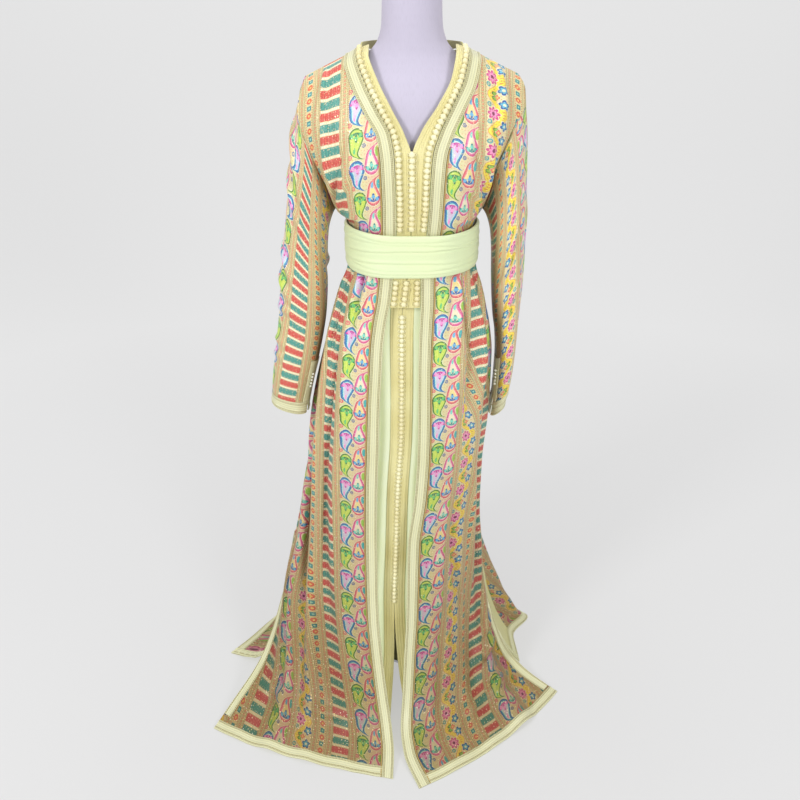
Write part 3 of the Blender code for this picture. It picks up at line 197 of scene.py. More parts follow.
# sleeve sections from the armhole to the cuff: outer and inner ends of the section, half depth, centre y
SLEEVE_COLUMNS = ("name", "xo", "zo", "xi", "zi", "depth", "yc")
SLEEVE_L = (
    ("armhole",   -0.2115, 1.4405, -0.1660, 1.1880, 0.0570,  0.000),
    ("head",      -0.2290, 1.3850, -0.1740, 1.1680, 0.0600, -0.001),
    ("cap",       -0.2410, 1.3250, -0.1800, 1.1380, 0.0620, -0.002),
    ("biceps",    -0.2500, 1.2600, -0.1840, 1.1000, 0.0620, -0.004),
    ("low biceps",-0.2620, 1.1900, -0.1860, 1.0600, 0.0610, -0.006),
    ("elbow",     -0.2740, 1.1100, -0.1880, 1.0100, 0.0590, -0.010),
    ("forearm",   -0.2860, 1.0300, -0.1930, 0.9550, 0.0560, -0.014),
    ("mid arm",   -0.2950, 0.9550, -0.2030, 0.9000, 0.0530, -0.018),
    ("low arm",   -0.3060, 0.8900, -0.2150, 0.8500, 0.0500, -0.022),
    ("wrist",     -0.3160, 0.8300, -0.2290, 0.8000, 0.0480, -0.026),
    ("cuff top",  -0.3220, 0.7840, -0.2380, 0.7630, 0.0460, -0.028),
    ("cuff",      -0.3250, 0.7460, -0.2460, 0.7200, 0.0450, -0.030),
)
SLEEVE_R = (
    ("armhole",    0.2115, 1.4440,  0.1530, 1.1880, 0.0590,  0.000),
    ("head",       0.2280, 1.3900,  0.1630, 1.1680, 0.0620,  0.001),
    ("cap",        0.2320, 1.3300,  0.1690, 1.1350, 0.0640,  0.002),
    ("biceps",     0.2360, 1.2600,  0.1730, 1.0950, 0.0640,  0.003),
    ("low biceps", 0.2390, 1.1900,  0.1750, 1.0500, 0.0630,  0.004),
    ("elbow",      0.2400, 1.1100,  0.1780, 1.0000, 0.0610,  0.005),
    ("forearm",    0.2400, 1.0300,  0.1830, 0.9450, 0.0590,  0.006),
    ("mid arm",    0.2390, 0.9650,  0.1900, 0.8980, 0.0570,  0.006),
    ("low arm",    0.2370, 0.9000,  0.1930, 0.8450, 0.0550,  0.004),
    ("wrist",      0.2340, 0.8400,  0.1920, 0.7950, 0.0530,  0.002),
    ("cuff top",   0.2290, 0.7900,  0.1900, 0.7500, 0.0510,  0.000),
    ("cuff",       0.2180, 0.7350,  0.1860, 0.7000, 0.0490, -0.002),
)
SLEEVE_SEAM = {"l": 0.455, "r": 0.43}   # where round the sleeve (0 shoulder, 0.25 front, 0.5 inner) its seam and cuff slit run
# underdress sections: placket x and y, side half widths, centre back
UNDER_COLUMNS = ("name", "z", "xp", "yp", "xl", "xr", "yb")
UNDER = (
    ("top edge",   1.2700,  0.0000, -0.1210, -0.1480, 0.1420, 0.1060),
    ("bust",       1.2300,  0.0000, -0.1220, -0.1480, 0.1400, 0.1060),
    ("ribs",       1.1700, -0.0020, -0.1180, -0.1270, 0.1250, 0.1030),
    ("waist",      1.1120, -0.0070, -0.1120, -0.1230, 0.1210, 0.1020),
    ("belt foot",  1.0700, -0.0110, -0.1130, -0.1280, 0.1250, 0.1060),
    ("high hip",   1.0250, -0.0180, -0.1180, -0.1420, 0.1370, 0.1170),
    ("hip",        0.9800, -0.0210, -0.1240, -0.1560, 0.1490, 0.1280),
    ("seat",       0.9300, -0.0220, -0.1290, -0.1690, 0.1590, 0.1360),
    ("thigh",      0.8500, -0.0220, -0.1370, -0.1800, 0.1630, 0.1400),
    ("low thigh",  0.7200, -0.0240, -0.1480, -0.1930, 0.1570, 0.1450),
    ("knee",       0.5750, -0.0330, -0.1640, -0.2020, 0.1500, 0.1530),
    ("calf",       0.4300, -0.0380, -0.1840, -0.2100, 0.1500, 0.1610),
    ("shin",       0.2900, -0.0430, -0.2120, -0.2200, 0.1540, 0.1690),
    ("ankle",      0.1600, -0.0400, -0.2520, -0.2320, 0.1620, 0.1700),
    ("low ankle",  0.0850, -0.0370, -0.2860, -0.2420, 0.1700, 0.1730),
    ("break",      0.0350, -0.0340, -0.3210, -0.2520, 0.1780, 0.1760),
    ("train",      0.0110, -0.0310, -0.3540, -0.2600, 0.1850, 0.1780),
    ("hem",        0.0000, -0.0290, -0.3850, -0.2680, 0.1920, 0.1800),
)
UNDER_SLIT_ROW = 12.0
# dress form sections: half width, front and back depth
FORM_COLUMNS = ("name", "z", "a", "yf", "yb")
FORM = (
    ("foot",      0.790, 0.120, 0.090, 0.092),
    ("seat",      0.830, 0.142, 0.108, 0.110),
    ("hip",       0.900, 0.146, 0.112, 0.114),
    ("high hip",  1.000, 0.128, 0.102, 0.102),
    ("waist",     1.100, 0.112, 0.096, 0.092),
    ("ribs",      1.180, 0.120, 0.104, 0.094),
    ("bust",      1.260, 0.134, 0.113, 0.096),
    ("chest",     1.320, 0.148, 0.111, 0.100),
    ("armhole",   1.370, 0.168, 0.101, 0.098),
    ("blade",     1.405, 0.176, 0.089, 0.092),
    ("shoulder",  1.432, 0.166, 0.075, 0.082),
    ("slope",     1.452, 0.134, 0.062, 0.072),
    ("neck base", 1.470, 0.104, 0.053, 0.064),
    ("neck root", 1.487, 0.082, 0.048, 0.058),
    ("neck low",  1.507, 0.066, 0.0465, 0.053),
    ("neck",      1.535, 0.0585, 0.0455, 0.049),
    ("neck top",  1.585, 0.0565, 0.0450, 0.047),
)

def table(rows, names):
    """The numeric columns of a table, by name."""
    return {n: np.array([r[i] for r in rows], float) for i, n in enumerate(names) if i}

def smooth(values, tau):
    """Monotone cubic through values at 0, 1, 2 ...; no overshoot, so sizes stay the ones in the table."""
    v = np.asarray(values, float); n = len(v)
    d = np.diff(v); m = np.zeros(n)
    both = d[:-1] * d[1:] > 0
    m[1:-1][both] = 2 * d[:-1][both] * d[1:][both] / (d[:-1][both] + d[1:][both])
    m[0], m[-1] = d[0], d[-1]
    tau = np.clip(np.asarray(tau, float), 0, n - 1)
    i = np.minimum(tau.astype(int), n - 2); f = tau - i
    return ((2*f**3 - 3*f**2 + 1) * v[i] + (f**3 - 2*f**2 + f) * m[i]
            + (-2*f**3 + 3*f**2) * v[i + 1] + (f**3 - f**2) * m[i + 1])

def step(x, a, b):
    x = np.clip((np.asarray(x, float) - a) / (b - a), 0, 1)
    return x * x * (3 - 2 * x)

def normals_of(fn, s, tau, es=1e-3, et=1e-2, flip=1.0):
    """Surface normals by central differences of the surface's own function."""
    a = fn(s + es, tau) - fn(s - es, tau)
    b = fn(s, tau + et) - fn(s, tau - et)
    n = np.cross(a, b) * flip
    return n / np.maximum(np.linalg.norm(n, axis=-1, keepdims=True), 1e-12)

FL, FR = table(FRONT_L, FRONT_COLUMNS), table(FRONT_R, FRONT_COLUMNS)
BK = table(BACK, BACK_COLUMNS)
N_FRONT = len(FRONT_L) - 1

def front_base(t, s, tau):
    c = {k: smooth(v, tau) for k, v in t.items()}
    sc = np.clip(s, -0.02, 1.02)
    f1 = (1 - c["rnd"]) * sc + c["rnd"] * np.sin(np.pi / 2 * sc)
    f2 = (1 - c["rnd"]) * sc + c["rnd"] * (1 - np.cos(np.pi / 2 * sc))
    p = np.stack([c["xi"] + (c["xo"] - c["xi"]) * f1, c["yi"] + (c["yo"] - c["yi"]) * f2,
                  c["zi"] + (c["zo"] - c["zi"]) * sc], -1)
    over = np.maximum(tau - (len(t["xi"]) - 1), 0)[..., None]
    return p + over * np.array([0, -0.05, 0.0])

def folds_at(folds, s, tau, last):
    h = np.zeros(np.broadcast(s, tau).shape)
    for name, s0, s1, half, height, r0, r1 in folds:
        at = s0 + (s1 - s0) * np.clip((tau - r0) / (last - r0), 0, 1)
        h = h + height * step(tau, r0, r1) * np.exp(-((s - at) / half) ** 2)
    return h

def front_fn(side):
    t, folds, flip = (FL, FOLDS_L, 1.0) if side == "l" else (FR, FOLDS_R, -1.0)
    def base(s, tau):
        return front_base(t, s, tau)
    def fn(s, tau):
        s, tau = np.broadcast_arrays(np.asarray(s, float), np.asarray(tau, float))
        p = base(s, tau)
        n = normals_of(base, s, tau, flip=flip)
        edge = step(s, 0.02, 0.10) * (1 - step(s, 0.92, 0.99))
        h = folds_at(folds, s, tau, N_FRONT) * edge * (1 - 0.55 * step(tau, 22.0, 25.0))
        p = p + n * h[..., None]
        p[..., 2] = np.maximum(p[..., 2], 0.0)
        return p
    return fn, flip

def back_ring(s, tau):
    """Section of the back from the left side edge (s=0) round to the right (s=1), rows 0 to 19."""
    c = {k: smooth(v, tau) for k, v in BK.items()}
    a = np.pi * np.clip(s, -0.01, 1.01)
    left = s < 0.5
    xe, ye, ze = (np.where(left, c[k + "l"], c[k + "r"]) for k in "xyz")
    k = np.abs(np.cos(a)) * np.where(np.abs(s - 0.5) <= 0.5, 1, 1)
    q = np.sin(a)
    lin = np.abs(2 * s - 1)
    f1 = (1 - c["rnd"]) * lin + c["rnd"] * k
    f2 = (1 - c["rnd"]) * lin + c["rnd"] * (1 - q)
    return np.stack([c["xc"] + (xe - c["xc"]) * f1, c["yc"] + (ye - c["yc"]) * f2,
                     c["zc"] + (ze - c["zc"]) * lin ** 2], -1)

def back_top(s):
    """Shoulder seams and back neckline, left to right."""
    m = np.abs(2 * s - 1)
    sign = np.where(s < 0.5, -1.0, 1.0)
    inner = m <= 0.5
    a = np.pi * np.minimum(m, 0.5)
    w = np.clip((m - 0.5) / 0.5, 0, 1)
    zt = np.where(s < 0.5, 1.4420, 1.4460)
    x = np.where(inner, 0.104 * np.sin(a), 0.104 + (0.205 - 0.104) * w)
    y = np.where(inner, -0.0034 + 0.0794 * np.cos(a), -0.0034 + 0.0020 * w)
    z = np.where(inner, 1.478 + 0.012 * np.sin(a) ** 2, 1.490 + (zt - 1.490) * w)
    return np.stack([sign * x, y, z], -1)

BACK_LAST = 19 + BACK_DROP_ROWS
def back_base(s, tau):
    s, tau = np.broadcast_arrays(np.asarray(s, float), np.asarray(tau, float))
    p = back_ring(s, np.minimum(tau, 19))
    first = np.clip(1 - tau, 0, 1)[..., None]
    p = p * (1 - first) + back_top(np.clip(s, 0, 1)) * first
    # below the slit top: out to the hem curve
    below = tau > 19
    if below.any():
        k = np.clip(tau - 19, 0, BACK_DROP_ROWS)
        spread = smooth([r[1] for r in BACK_DROP], k)
        z = smooth([r[2] for r in BACK_DROP], k)
        hs = np.array([r[1] for r in BACK_HEM])
        knots = np.interp(np.clip(s, 0, 1), hs, np.arange(len(hs)))
        hx = smooth([r[2] for r in BACK_HEM], knots); hy = smooth([r[3] for r in BACK_HEM], knots)
        ring = back_ring(s, np.full_like(tau, 19.0))
        z = z + (ring[..., 2] - BACK_DROP[0][2]) * (1 - step(k, 0.0, 1.6))     # leaves the row above without a ledge
        q = np.stack([ring[..., 0] + (hx - ring[..., 0]) * spread, ring[..., 1] + (hy - ring[..., 1]) * spread, z], -1)
        for col, end in ((1, 0.0), (4, 1.0)):
            edge = np.stack([smooth([r[col + i] for r in BACK_EDGE], k) for i in range(3)], -1)
            re = back_ring(np.full_like(tau, end), np.full_like(tau, 19.0))
            ex, ey = (BACK_HEM[0][2:], BACK_HEM[-1][2:])[int(end)]
            at = np.stack([re[..., 0] + (ex - re[..., 0]) * spread, re[..., 1] + (ey - re[..., 1]) * spread, z], -1)
            q = q + (edge - at) * (1 - step(np.abs(s - end), 0.0, 0.10))[..., None]
        p = np.where(below[..., None], q, p)
    return p

def back_fn():
    def fn(s, tau):
        s, tau = np.broadcast_arrays(np.asarray(s, float), np.asarray(tau, float))
        p = back_base(s, tau)
        n = normals_of(back_base, s, tau)
        edge = step(s, 0.015, 0.08) * (1 - step(s, 0.92, 0.985))
        h = folds_at(BACK_FOLDS, s, tau, BACK_LAST) * edge * (1 - 0.6 * step(tau, 23.0, 25.0))
        p = p + n * h[..., None]
        p[..., 2] = np.maximum(p[..., 2], 0.0)
        return p
    return fn, 1.0

def armhole(side, a):
    """The armhole ring: the side edges of the front and back panels, at angle a round the sleeve."""
    t, col, sign = (FL, "l", -1.0) if side == "l" else (FR, "r", 1.0)
    z = 1.1862 + (t["zo"][0] - 1.1862) * (1 + np.cos(a)) / 2
    at = lambda zs, vs: np.interp(-z, -zs[:8], vs[:8])
    front = np.sin(a) >= 0
    x = np.where(front, at(t["zo"], t["xo"]), at(BK["z" + col], BK["x" + col]))
    y = np.where(front, at(t["zo"], t["yo"]), at(BK["z" + col], BK["y" + col]))
    return np.stack([x + sign * (0.0022 + 0.0006 * (1 - np.cos(a))), y, z], -1)

def sleeve_fn(side):
    t = table(SLEEVE_L if side == "l" else SLEEVE_R, SLEEVE_COLUMNS)
    seam = SLEEVE_SEAM[side]
    sign = -1.0 if side == "l" else 1.0
    def fn(s, tau):
        """s 0 to 1 once round from the seam; the gap at the seam opens into the cuff slit."""
        s, tau = np.broadcast_arrays(np.asarray(s, float), np.asarray(tau, float))
        c = {k: smooth(v, tau) for k, v in t.items()}
        gap = 0.0012 + 0.022 * step(tau, 9.2, 11.0)
        a = 2 * np.pi * (seam + gap + (1 - 2 * gap) * s)
        up = (1 + np.cos(a)) / 2             # 1 at the outer end of the section, 0 at the inner end
        sq = np.sin(a) * (1 + 0.10 * np.cos(2 * a))
        p = np.stack([c["xi"] + (c["xo"] - c["xi"]) * up, c["yc"] - c["depth"] * sq,
                      c["zi"] + (c["zo"] - c["zi"]) * up - 0.04 * np.maximum(tau - (len(t["xo"]) - 1), 0)], -1)
        set_in = (1 - step(tau, 0.0, 2.0))[..., None]
        return p + (armhole(side, a) - p) * set_in
    return fn, sign

UD = table(UNDER, UNDER_COLUMNS)
def under_fn(part):
    """part: 'l' and 'r' fronts from the placket to the side seam, 'b' the back from left to right."""
    def fn(s, tau):
        s, tau = np.broadcast_arrays(np.asarray(s, float), np.asarray(tau, float))
        c = {k: smooth(v, tau) for k, v in UD.items()}
        if part == "b":
            a = np.pi * s
            left = s < 0.5
            xe = np.where(left, c["xl"], c["xr"]); xm = (c["xl"] + c["xr"]) / 2
            x = xm + (xe - xm) * np.abs(np.cos(a)); y = 0.0004 + (c["yb"] - 0.0004) * np.sin(a)
        else:
            sign = -1.0 if part == "l" else 1.0
            xe = c["xl"] if part == "l" else c["xr"]
            slit = 0.0003 + 0.021 * step(tau, UNDER_SLIT_ROW, 16.0)
            xi = c["xp"] + sign * slit
            x = xi + (xe - xi) * np.sin(np.pi / 2 * s)
            y = -0.0004 + (c["yp"] + 0.0004) * np.cos(np.pi / 2 * np.clip(s, -1, 1))
        z = c["z"]
        return np.stack([x, y, np.broadcast_to(z, x.shape)], -1)
    return fn, {"l": 1.0, "r": -1.0, "b": 1.0}[part]

# plastron: inner edge of the braided strips, rows matched to the front panels' rows
PLASTRON_COLUMNS = ("name", "xl", "yl", "zl", "xr", "yr", "zr")
PLASTRON = (
    ("shoulder",   -0.0820, -0.0040, 1.4970, 0.0840, -0.0040, 1.4980),
    ("yoke",       -0.0815, -0.0450, 1.4820, 0.0830, -0.0420, 1.4870),
    ("collarbone", -0.0640, -0.0770, 1.4400, 0.0740, -0.0740, 1.4450),
    ("chest",      -0.0370, -0.1030, 1.3910, 0.0500, -0.0980, 1.4010),
    ("neck point", -0.0135, -0.1190, 1.3490, 0.0170, -0.1170, 1.3540),
    ("upper bust", -0.0006, -0.1290, 1.3090, 0.0006, -0.1280, 1.3120),
    ("bust",       -0.0006, -0.1335, 1.2650, 0.0006, -0.1335, 1.2650),
    ("underarm",   -0.0006, -0.1315, 1.2200, 0.0006, -0.1315, 1.2200),
    ("ribs",       -0.0022, -0.1275, 1.1700, -0.0010, -0.1275, 1.1700),
    ("waist",      -0.0060, -0.1225, 1.1150, -0.0048, -0.1225, 1.1150),
    ("belt foot",  -0.0112, -0.1245, 1.0680, -0.0100, -0.1245, 1.0680),
    ("high hip",   -0.0170, -0.1315, 1.0250, -0.0158, -0.1315, 1.0250),
    ("hip",        -0.0210, -0.1395, 0.9800, -0.0198, -0.1395, 0.9800),
)
PLASTRON_TAUS = [0, 1, 2, 3, 4, 4.7, 5, 6, 7, 8.02, 9, 9.99, 10.5, 11, 11.3]
# the rows of knotted buttons stop at the sash and go on under it, rows of the plastron's table
BUTTON_ROWS = {"buttons_": [0.15, 1, 2, 3, 4, 4.7, 5, 6, 7, 8.02], "buttons_low_": [9.99, 10.5, 11, 11.2]}
UNDER_BAND = 0.024
def plastron_fn(side):
    t, flip = (FL, 1.0) if side == "l" else (FR, -1.0)
    k = 1 if side == "l" else 4
    edge = [[r[k + i] for r in PLASTRON] for i in range(3)]
    def fn(s, tau):
        s, tau = np.broadcast_arrays(np.asarray(s, float), np.asarray(tau, float))
        inner = np.stack([smooth(e, tau) for e in edge], -1)
        outer = front_base(t, np.zeros_like(s), tau) + np.array([(2 * GAP if side == "l" else -2 * GAP), 0, 0])
        return inner + (outer - inner) * s[..., None]
    return fn, flip

def collar_point(a, w):
    """Stand collar: a from the left shoulder (-pi/2) round the back to the right, w from its seam to its top edge."""
    h = 0.010 + 0.016 * np.cos(a) ** 2
    x = (0.1000 - 0.004 * w) * np.sin(a)
    y = -0.0010 + (0.0710 - 0.005 * w) * np.cos(a)
    return np.stack([x, y, 1.4800 + 0.0125 * np.sin(a) ** 2 + h * w], -1)

def belt_ring(z, n):
    """Inner face of the sash at height z, n points once round from the left side by the front; and outward normals."""
    row = lambda col, t=FL: np.interp(-z, -t["zo"][:15], t[col][:15])
    xl, xr = -0.1385, 0.1375
    il, ir = row("xi"), row("xi", FR)
    yf = row("yi") - 0.0078; yb = np.interp(-z, -BK["zl"][:15], BK["yc"][:15]) + 0.0045
    ang = np.linspace(0, 2 * np.pi, n, endpoint=False)          # 0 left, pi/2 front, pi right, 3pi/2 back
    cx, sn = np.cos(ang), np.sin(ang)
    front = sn >= 0
    x = np.where(front, np.where(cx > 0, il + (xl - il) * cx, ir + (xr - ir) * -cx), (xl + xr) / 2 + (xl - xr) / 2 * cx)
    y = np.where(front, yf * sn, -yb * sn)
    p = np.stack([x, y, np.full(n, z)], -1)
    a = np.where(front, np.where(cx > 0, np.abs(xl - il), np.abs(xr - ir)), (xr - xl) / 2)
    b = np.where(front, -yf, yb)
    nrm = np.stack([-cx / a, -sn / b, 0 * cx], -1)
    return p, nrm / np.linalg.norm(nrm, axis=1, keepdims=True)

# ------------------------------------------------------------------ grids
def arc_columns(fn, taus, spec, n=121):
    """Fractions s of each row at cloth distances given by spec: ('in', u), ('out', u) or ('mid', share of the rest)."""
    sf = np.linspace(0, 1, n)
    out = np.zeros((len(taus), len(spec)))
    u_in = max([u for k, u in spec if k == "in"] + [0.0]); u_out = max([u for k, u in spec if k == "out"] + [0.0])
    for i, t in enumerate(taus):
        p = fn(sf, np.full(n, float(t)))
        u = np.concatenate([[0], np.cumsum(np.linalg.norm(np.diff(p, axis=0), axis=1))])
        total = u[-1]
        want = [v if k == "in" else total - v if k == "out" else u_in + (total - u_in - u_out) * v for k, v in spec]
        out[i] = np.interp(want, u, sf)
    return out

def grid_normals(P, flip):
    """Vertex normals of the grid's own triangles, so that layers stacked on one grid stay parallel."""
    N = np.zeros_like(P)
    a, b, d, e = P[:-1, :-1], P[:-1, 1:], P[1:, :-1], P[1:, 1:]
    for n, at in ((np.cross(b - a, e - a), ((0, 0), (0, 1), (1, 1))), (np.cross(e - a, d - a), ((0, 0), (1, 1), (1, 0)))):
        n = n / np.maximum(np.linalg.norm(n, axis=-1, keepdims=True), 1e-12)
        for di, dj in at:
            N[di:N.shape[0] - 1 + di, dj:N.shape[1] - 1 + dj] += n
    return flip * N / np.maximum(np.linalg.norm(N, axis=-1, keepdims=True), 1e-12)

def grid_of(fn, flip, S, taus):
    T = np.asarray(taus, float)
    T = T[:, None] + 0 * S if T.ndim < S.ndim else T
    P = fn(S, T)
    return P, grid_normals(P, flip) if P.ndim == 3 else normals_of(fn, S, T, flip=flip)

def inset(P, share=0.03):
    """A strip's grid with its end columns drawn in along its own facets."""
    Q = P.copy()
    Q[:, 0] += (P[:, 1] - P[:, 0]) * share; Q[:, -1] -= (P[:, -1] - P[:, -2]) * share
    return Q

def hem_rows(fn, S, last, width):
    """Table row, for each column, that lies the given cloth distance above the hem."""
    tt = np.linspace(last - 2, last, 161)
    out = []
    for s in S[-1]:
        p = fn(np.full(161, s), tt)
        v = np.concatenate([[0], np.cumsum(np.linalg.norm(np.diff(p, axis=0), axis=1))])
        out.append(np.interp(v[-1] - width, v, tt))
    return np.array(out)


# ================================================================== dense surfaces
SH = np.array(SHIFT)
DETAIL = 1.0
RNG = np.random.default_rng(7)

class Surf:
    """A cloth surface sampled densely once, with cloth coordinates (U across, V down), to be read at any (s, tau)."""
    def __init__(self, fn, flip, last, ns=181, nt=521, t0=0.0, creases=(), edge=(0.03, 0.97), ripple=None, v_ref=0.35):
        self.s = np.linspace(0, 1, ns); self.t = np.linspace(t0, last, nt)
        S, T = np.meshgrid(self.s, self.t)
        P = fn(S, T)
        self.U = np.concatenate([np.zeros((nt, 1)), np.cumsum(np.linalg.norm(np.diff(P, axis=1), axis=2), axis=1)], 1)
        j = int(v_ref * (ns - 1))
        self.V = np.concatenate([[0], np.cumsum(np.linalg.norm(np.diff(P[:, j], axis=0), axis=1))])
        N = self._normals(P, flip)
        W = self.U[:, -1:]
        D = np.zeros((nt, ns))
        for c in creases:
            D += crease(self.U, np.broadcast_to(self.V[:, None], self.U.shape), W, *c[1:])
        if ripple is not None:
            D += ripple(S, T, self.U, self.V[:, None], W)
        D *= step(S, 0.0, edge[0]) * (1 - step(S, edge[1], 1.0))
        P = P + N * D[..., None]
        P[..., 2] = np.maximum(P[..., 2], 0.0)
        self.P, self.N = P, self._normals(P, flip)

    @staticmethod
    def _normals(P, flip):
        n = np.cross(np.gradient(P, axis=1), np.gradient(P, axis=0)) * flip
        return n / np.maximum(np.linalg.norm(n, axis=-1, keepdims=True), 1e-12)

    def _bil(self, A, s, t):
        s, t = np.broadcast_arrays(np.asarray(s, float), np.asarray(t, float))
        x = np.clip((s - self.s[0]) / (self.s[-1] - self.s[0]) * (len(self.s) - 1), 0, len(self.s) - 1 - 1e-9)
        y = np.clip((t - self.t[0]) / (self.t[-1] - self.t[0]) * (len(self.t) - 1), 0, len(self.t) - 1 - 1e-9)
        i, j = y.astype(int), x.astype(int); fy, fx = y - i, x - j
        if A.ndim == 3:
            fx, fy = fx[..., None], fy[..., None]
        return (A[i, j] * (1 - fx) * (1 - fy) + A[i, j + 1] * fx * (1 - fy) + A[i + 1, j] * (1 - fx) * fy + A[i + 1, j + 1] * fx * fy)

    def at(self, s, t):
        n = self._bil(self.N, s, t)
        return self._bil(self.P, s, t), n / np.maximum(np.linalg.norm(n, axis=-1, keepdims=True), 1e-12)

    def uv(self, s, t):
        s, t = np.broadcast_arrays(np.asarray(s, float), np.asarray(t, float))
        return self._bil(self.U, s, t), np.interp(t, self.t, self.V)

    def s_at(self, u, t, from_out=False):
        """Fractions s at cloth distance u from the inner edge (or the outer edge) for each t."""
        out = np.zeros((len(t), len(u)))
        for i, tt in enumerate(t):
            row = self._bil(self.U, self.s, np.full(len(self.s), tt))
            out[i] = np.interp((row[-1] - np.asarray(u)[::-1])[::-1] if from_out else u, row, self.s)
        return out

    def t_even(self, n, t0=None, t1=None, share=0.35):
        """n rows evenly spaced along the cloth."""
        t0 = self.t[0] if t0 is None else t0; t1 = self.t[-1] if t1 is None else t1
        v = np.linspace(np.interp(t0, self.t, self.V), np.interp(t1, self.t, self.V), n)
        return np.interp(v, self.V, self.t)

def crease(U, V, W, u0, v0, u1, v1, half, height, sharp=0.0):
    """A soft ridge (height > 0) or trough along a line in cloth coordinates. u is a share of the width there."""
    X = U / W * np.mean(W)
    a0, a1 = u0 * np.mean(W), u1 * np.mean(W)
    d = np.array([a1 - a0, v1 - v0]); L = np.hypot(*d); d /= max(L, 1e-9)
    t = ((X - a0) * d[0] + (V - v0) * d[1]) / L
    bend = 0.010 * np.sin(3.6 * t + 17 * (u0 + v0)) + 0.003 * np.sin(9.0 * t + 5 * u0)
    q = (-(X - a0) * d[1] + (V - v0) * d[0]) + bend
    env = step(t, -0.08, 0.28) * (1 - step(t, 0.62, 1.08))
    w = half * (0.75 + 0.5 * np.clip(t, 0, 1))
    prof = np.exp(-(q / w) ** 2) - 0.45 * np.exp(-((q - 1.9 * w) / (1.2 * w)) ** 2) * (1 - sharp)
    return height * env * prof

# ================================================================== mesh helpers
def new_mesh(name, verts, faces, mats, mat_index=None, uv=None, smooth_angle=50):
    me = bpy.data.meshes.new(name)
    verts = np.asarray(verts, np.float64) + SH
    faces = np.asarray(faces, np.int32)
    k = faces.shape[1]
    me.vertices.add(len(verts)); me.vertices.foreach_set("co", verts.astype(np.float32).ravel())
    me.loops.add(faces.size); me.loops.foreach_set("vertex_index", faces.ravel())
    me.polygons.add(len(faces)); me.polygons.foreach_set("loop_start", np.arange(0, faces.size, k, dtype=np.int32))
    if mat_index is not None:
        me.polygons.foreach_set("material_index", np.asarray(mat_index, np.int32))
    for m in mats:
        me.materials.append(m)
    if uv is not None:
        layer = me.uv_layers.new(name="UVMap")
        layer.data.foreach_set("uv", np.asarray(uv, np.float32)[faces.ravel()].ravel())
    me.update(calc_edges=True); me.validate()
    me.shade_smooth()
    if smooth_angle:
        me.set_sharp_from_angle(angle=math.radians(smooth_angle))
    ob = bpy.data.objects.new(name, me)
    bpy.context.scene.collection.objects.link(ob)
    return ob

def shell(name, P, N, lo, hi, mats, UV, flip, closed=False):
    """A two-sided cloth mesh on a grid: outer face material 0, inner face and rims material 1."""
    r, c = P.shape[:2]
    lo = np.broadcast_to(lo, (r, c))[..., None]; hi = np.broadcast_to(hi, (r, c))[..., None]
    inner, outer = (P + N * lo).reshape(-1, 3), (P + N * hi).reshape(-1, 3)
    k = r * c
    uv = np.stack([UV[0], UV[1]], -1).reshape(-1, 2)
    i, j = np.meshgrid(np.arange(r - 1), np.arange(c if closed else c - 1), indexing="ij")
    a = (i * c + j).ravel(); b = (i * c + (j + 1) % c).ravel(); d, e = a + c, b + c
    quads_in = np.stack([a, d, e, b], 1) if flip > 0 else np.stack([a, b, e, d], 1)
    out = np.stack([a, b, e, d], 1) if flip > 0 else np.stack([a, d, e, b], 1)
    faces = [out + k, quads_in]
    rim = []
    top = np.arange(c); bot = (r - 1) * c + top
    def strip(p, turn):
        q = np.stack([p[:-1], p[1:], p[1:] + k, p[:-1] + k], 1)
        return q if turn else q[:, ::-1]
    f = flip > 0
    wrap = (lambda p: np.append(p, p[0])) if closed else (lambda p: p)
    rim.append(strip(wrap(top), f)); rim.append(strip(wrap(bot), not f))
    if not closed:
        left = np.arange(r) * c; right = left + c - 1
        rim.append(strip(left, not f)); rim.append(strip(right, f))
    rim = np.concatenate(rim)
    allf = np.concatenate(faces + [rim])
    mi = np.concatenate([np.zeros(len(out)), np.ones(len(quads_in) + len(rim))]).astype(int) if len(mats) > 1 else np.zeros(len(allf), int)
    return new_mesh(name, np.concatenate([inner, outer]), allf, mats, mi, np.concatenate([uv, uv]))

def tube(points, radius, sides=8, twist=None):
    """Vertices and quads of a tube along points; radius may vary. Ends are closed with a collapsed ring."""
    pts = np.asarray(points, float); n = len(pts)
    rad = np.broadcast_to(radius, (n,)).copy()
    tan = np.gradient(pts, axis=0); tan /= np.maximum(np.linalg.norm(tan, axis=1, keepdims=True), 1e-12)
    ref = np.array([0.0, 1.0, 0.0]) if abs(tan[0][1]) < 0.9 else np.array([1.0, 0, 0])
    a = np.cross(tan, ref); a /= np.maximum(np.linalg.norm(a, axis=1, keepdims=True), 1e-12); b = np.cross(tan, a)
    ang = np.linspace(0, 2 * np.pi, sides, endpoint=False)
    ph = np.zeros(n) if twist is None else twist
    w = ang[None, :] + ph[:, None]
    v = pts[:, None] + rad[:, None, None] * (np.cos(w)[..., None] * a[:, None] + np.sin(w)[..., None] * b[:, None])
    v = np.concatenate([pts[:1, None] + 0 * v[:1] + 0.02 * (v[:1] - pts[:1, None]), v, pts[-1:, None] + 0.02 * (v[-1:] - pts[-1:, None])])
    n += 2
    i, j = np.meshgrid(np.arange(n - 1), np.arange(sides), indexing="ij")
    p = (i * sides + j).ravel(); q = (i * sides + (j + 1) % sides).ravel()
    faces = np.stack([p, q, q + sides, p + sides], 1)
    return v.reshape(-1, 3), faces

def join(parts):
    vs, fs, k = [], [], 0
    for v, f in parts:
        vs.append(v); fs.append(f + k); k += len(v)
    return np.concatenate(vs), np.concatenate(fs)

def recalc(ob):
    bm = bmesh.new(); bm.from_mesh(ob.data)
    bmesh.ops.recalc_face_normals(bm, faces=bm.faces[:]); bm.to_mesh(ob.data); bm.free()

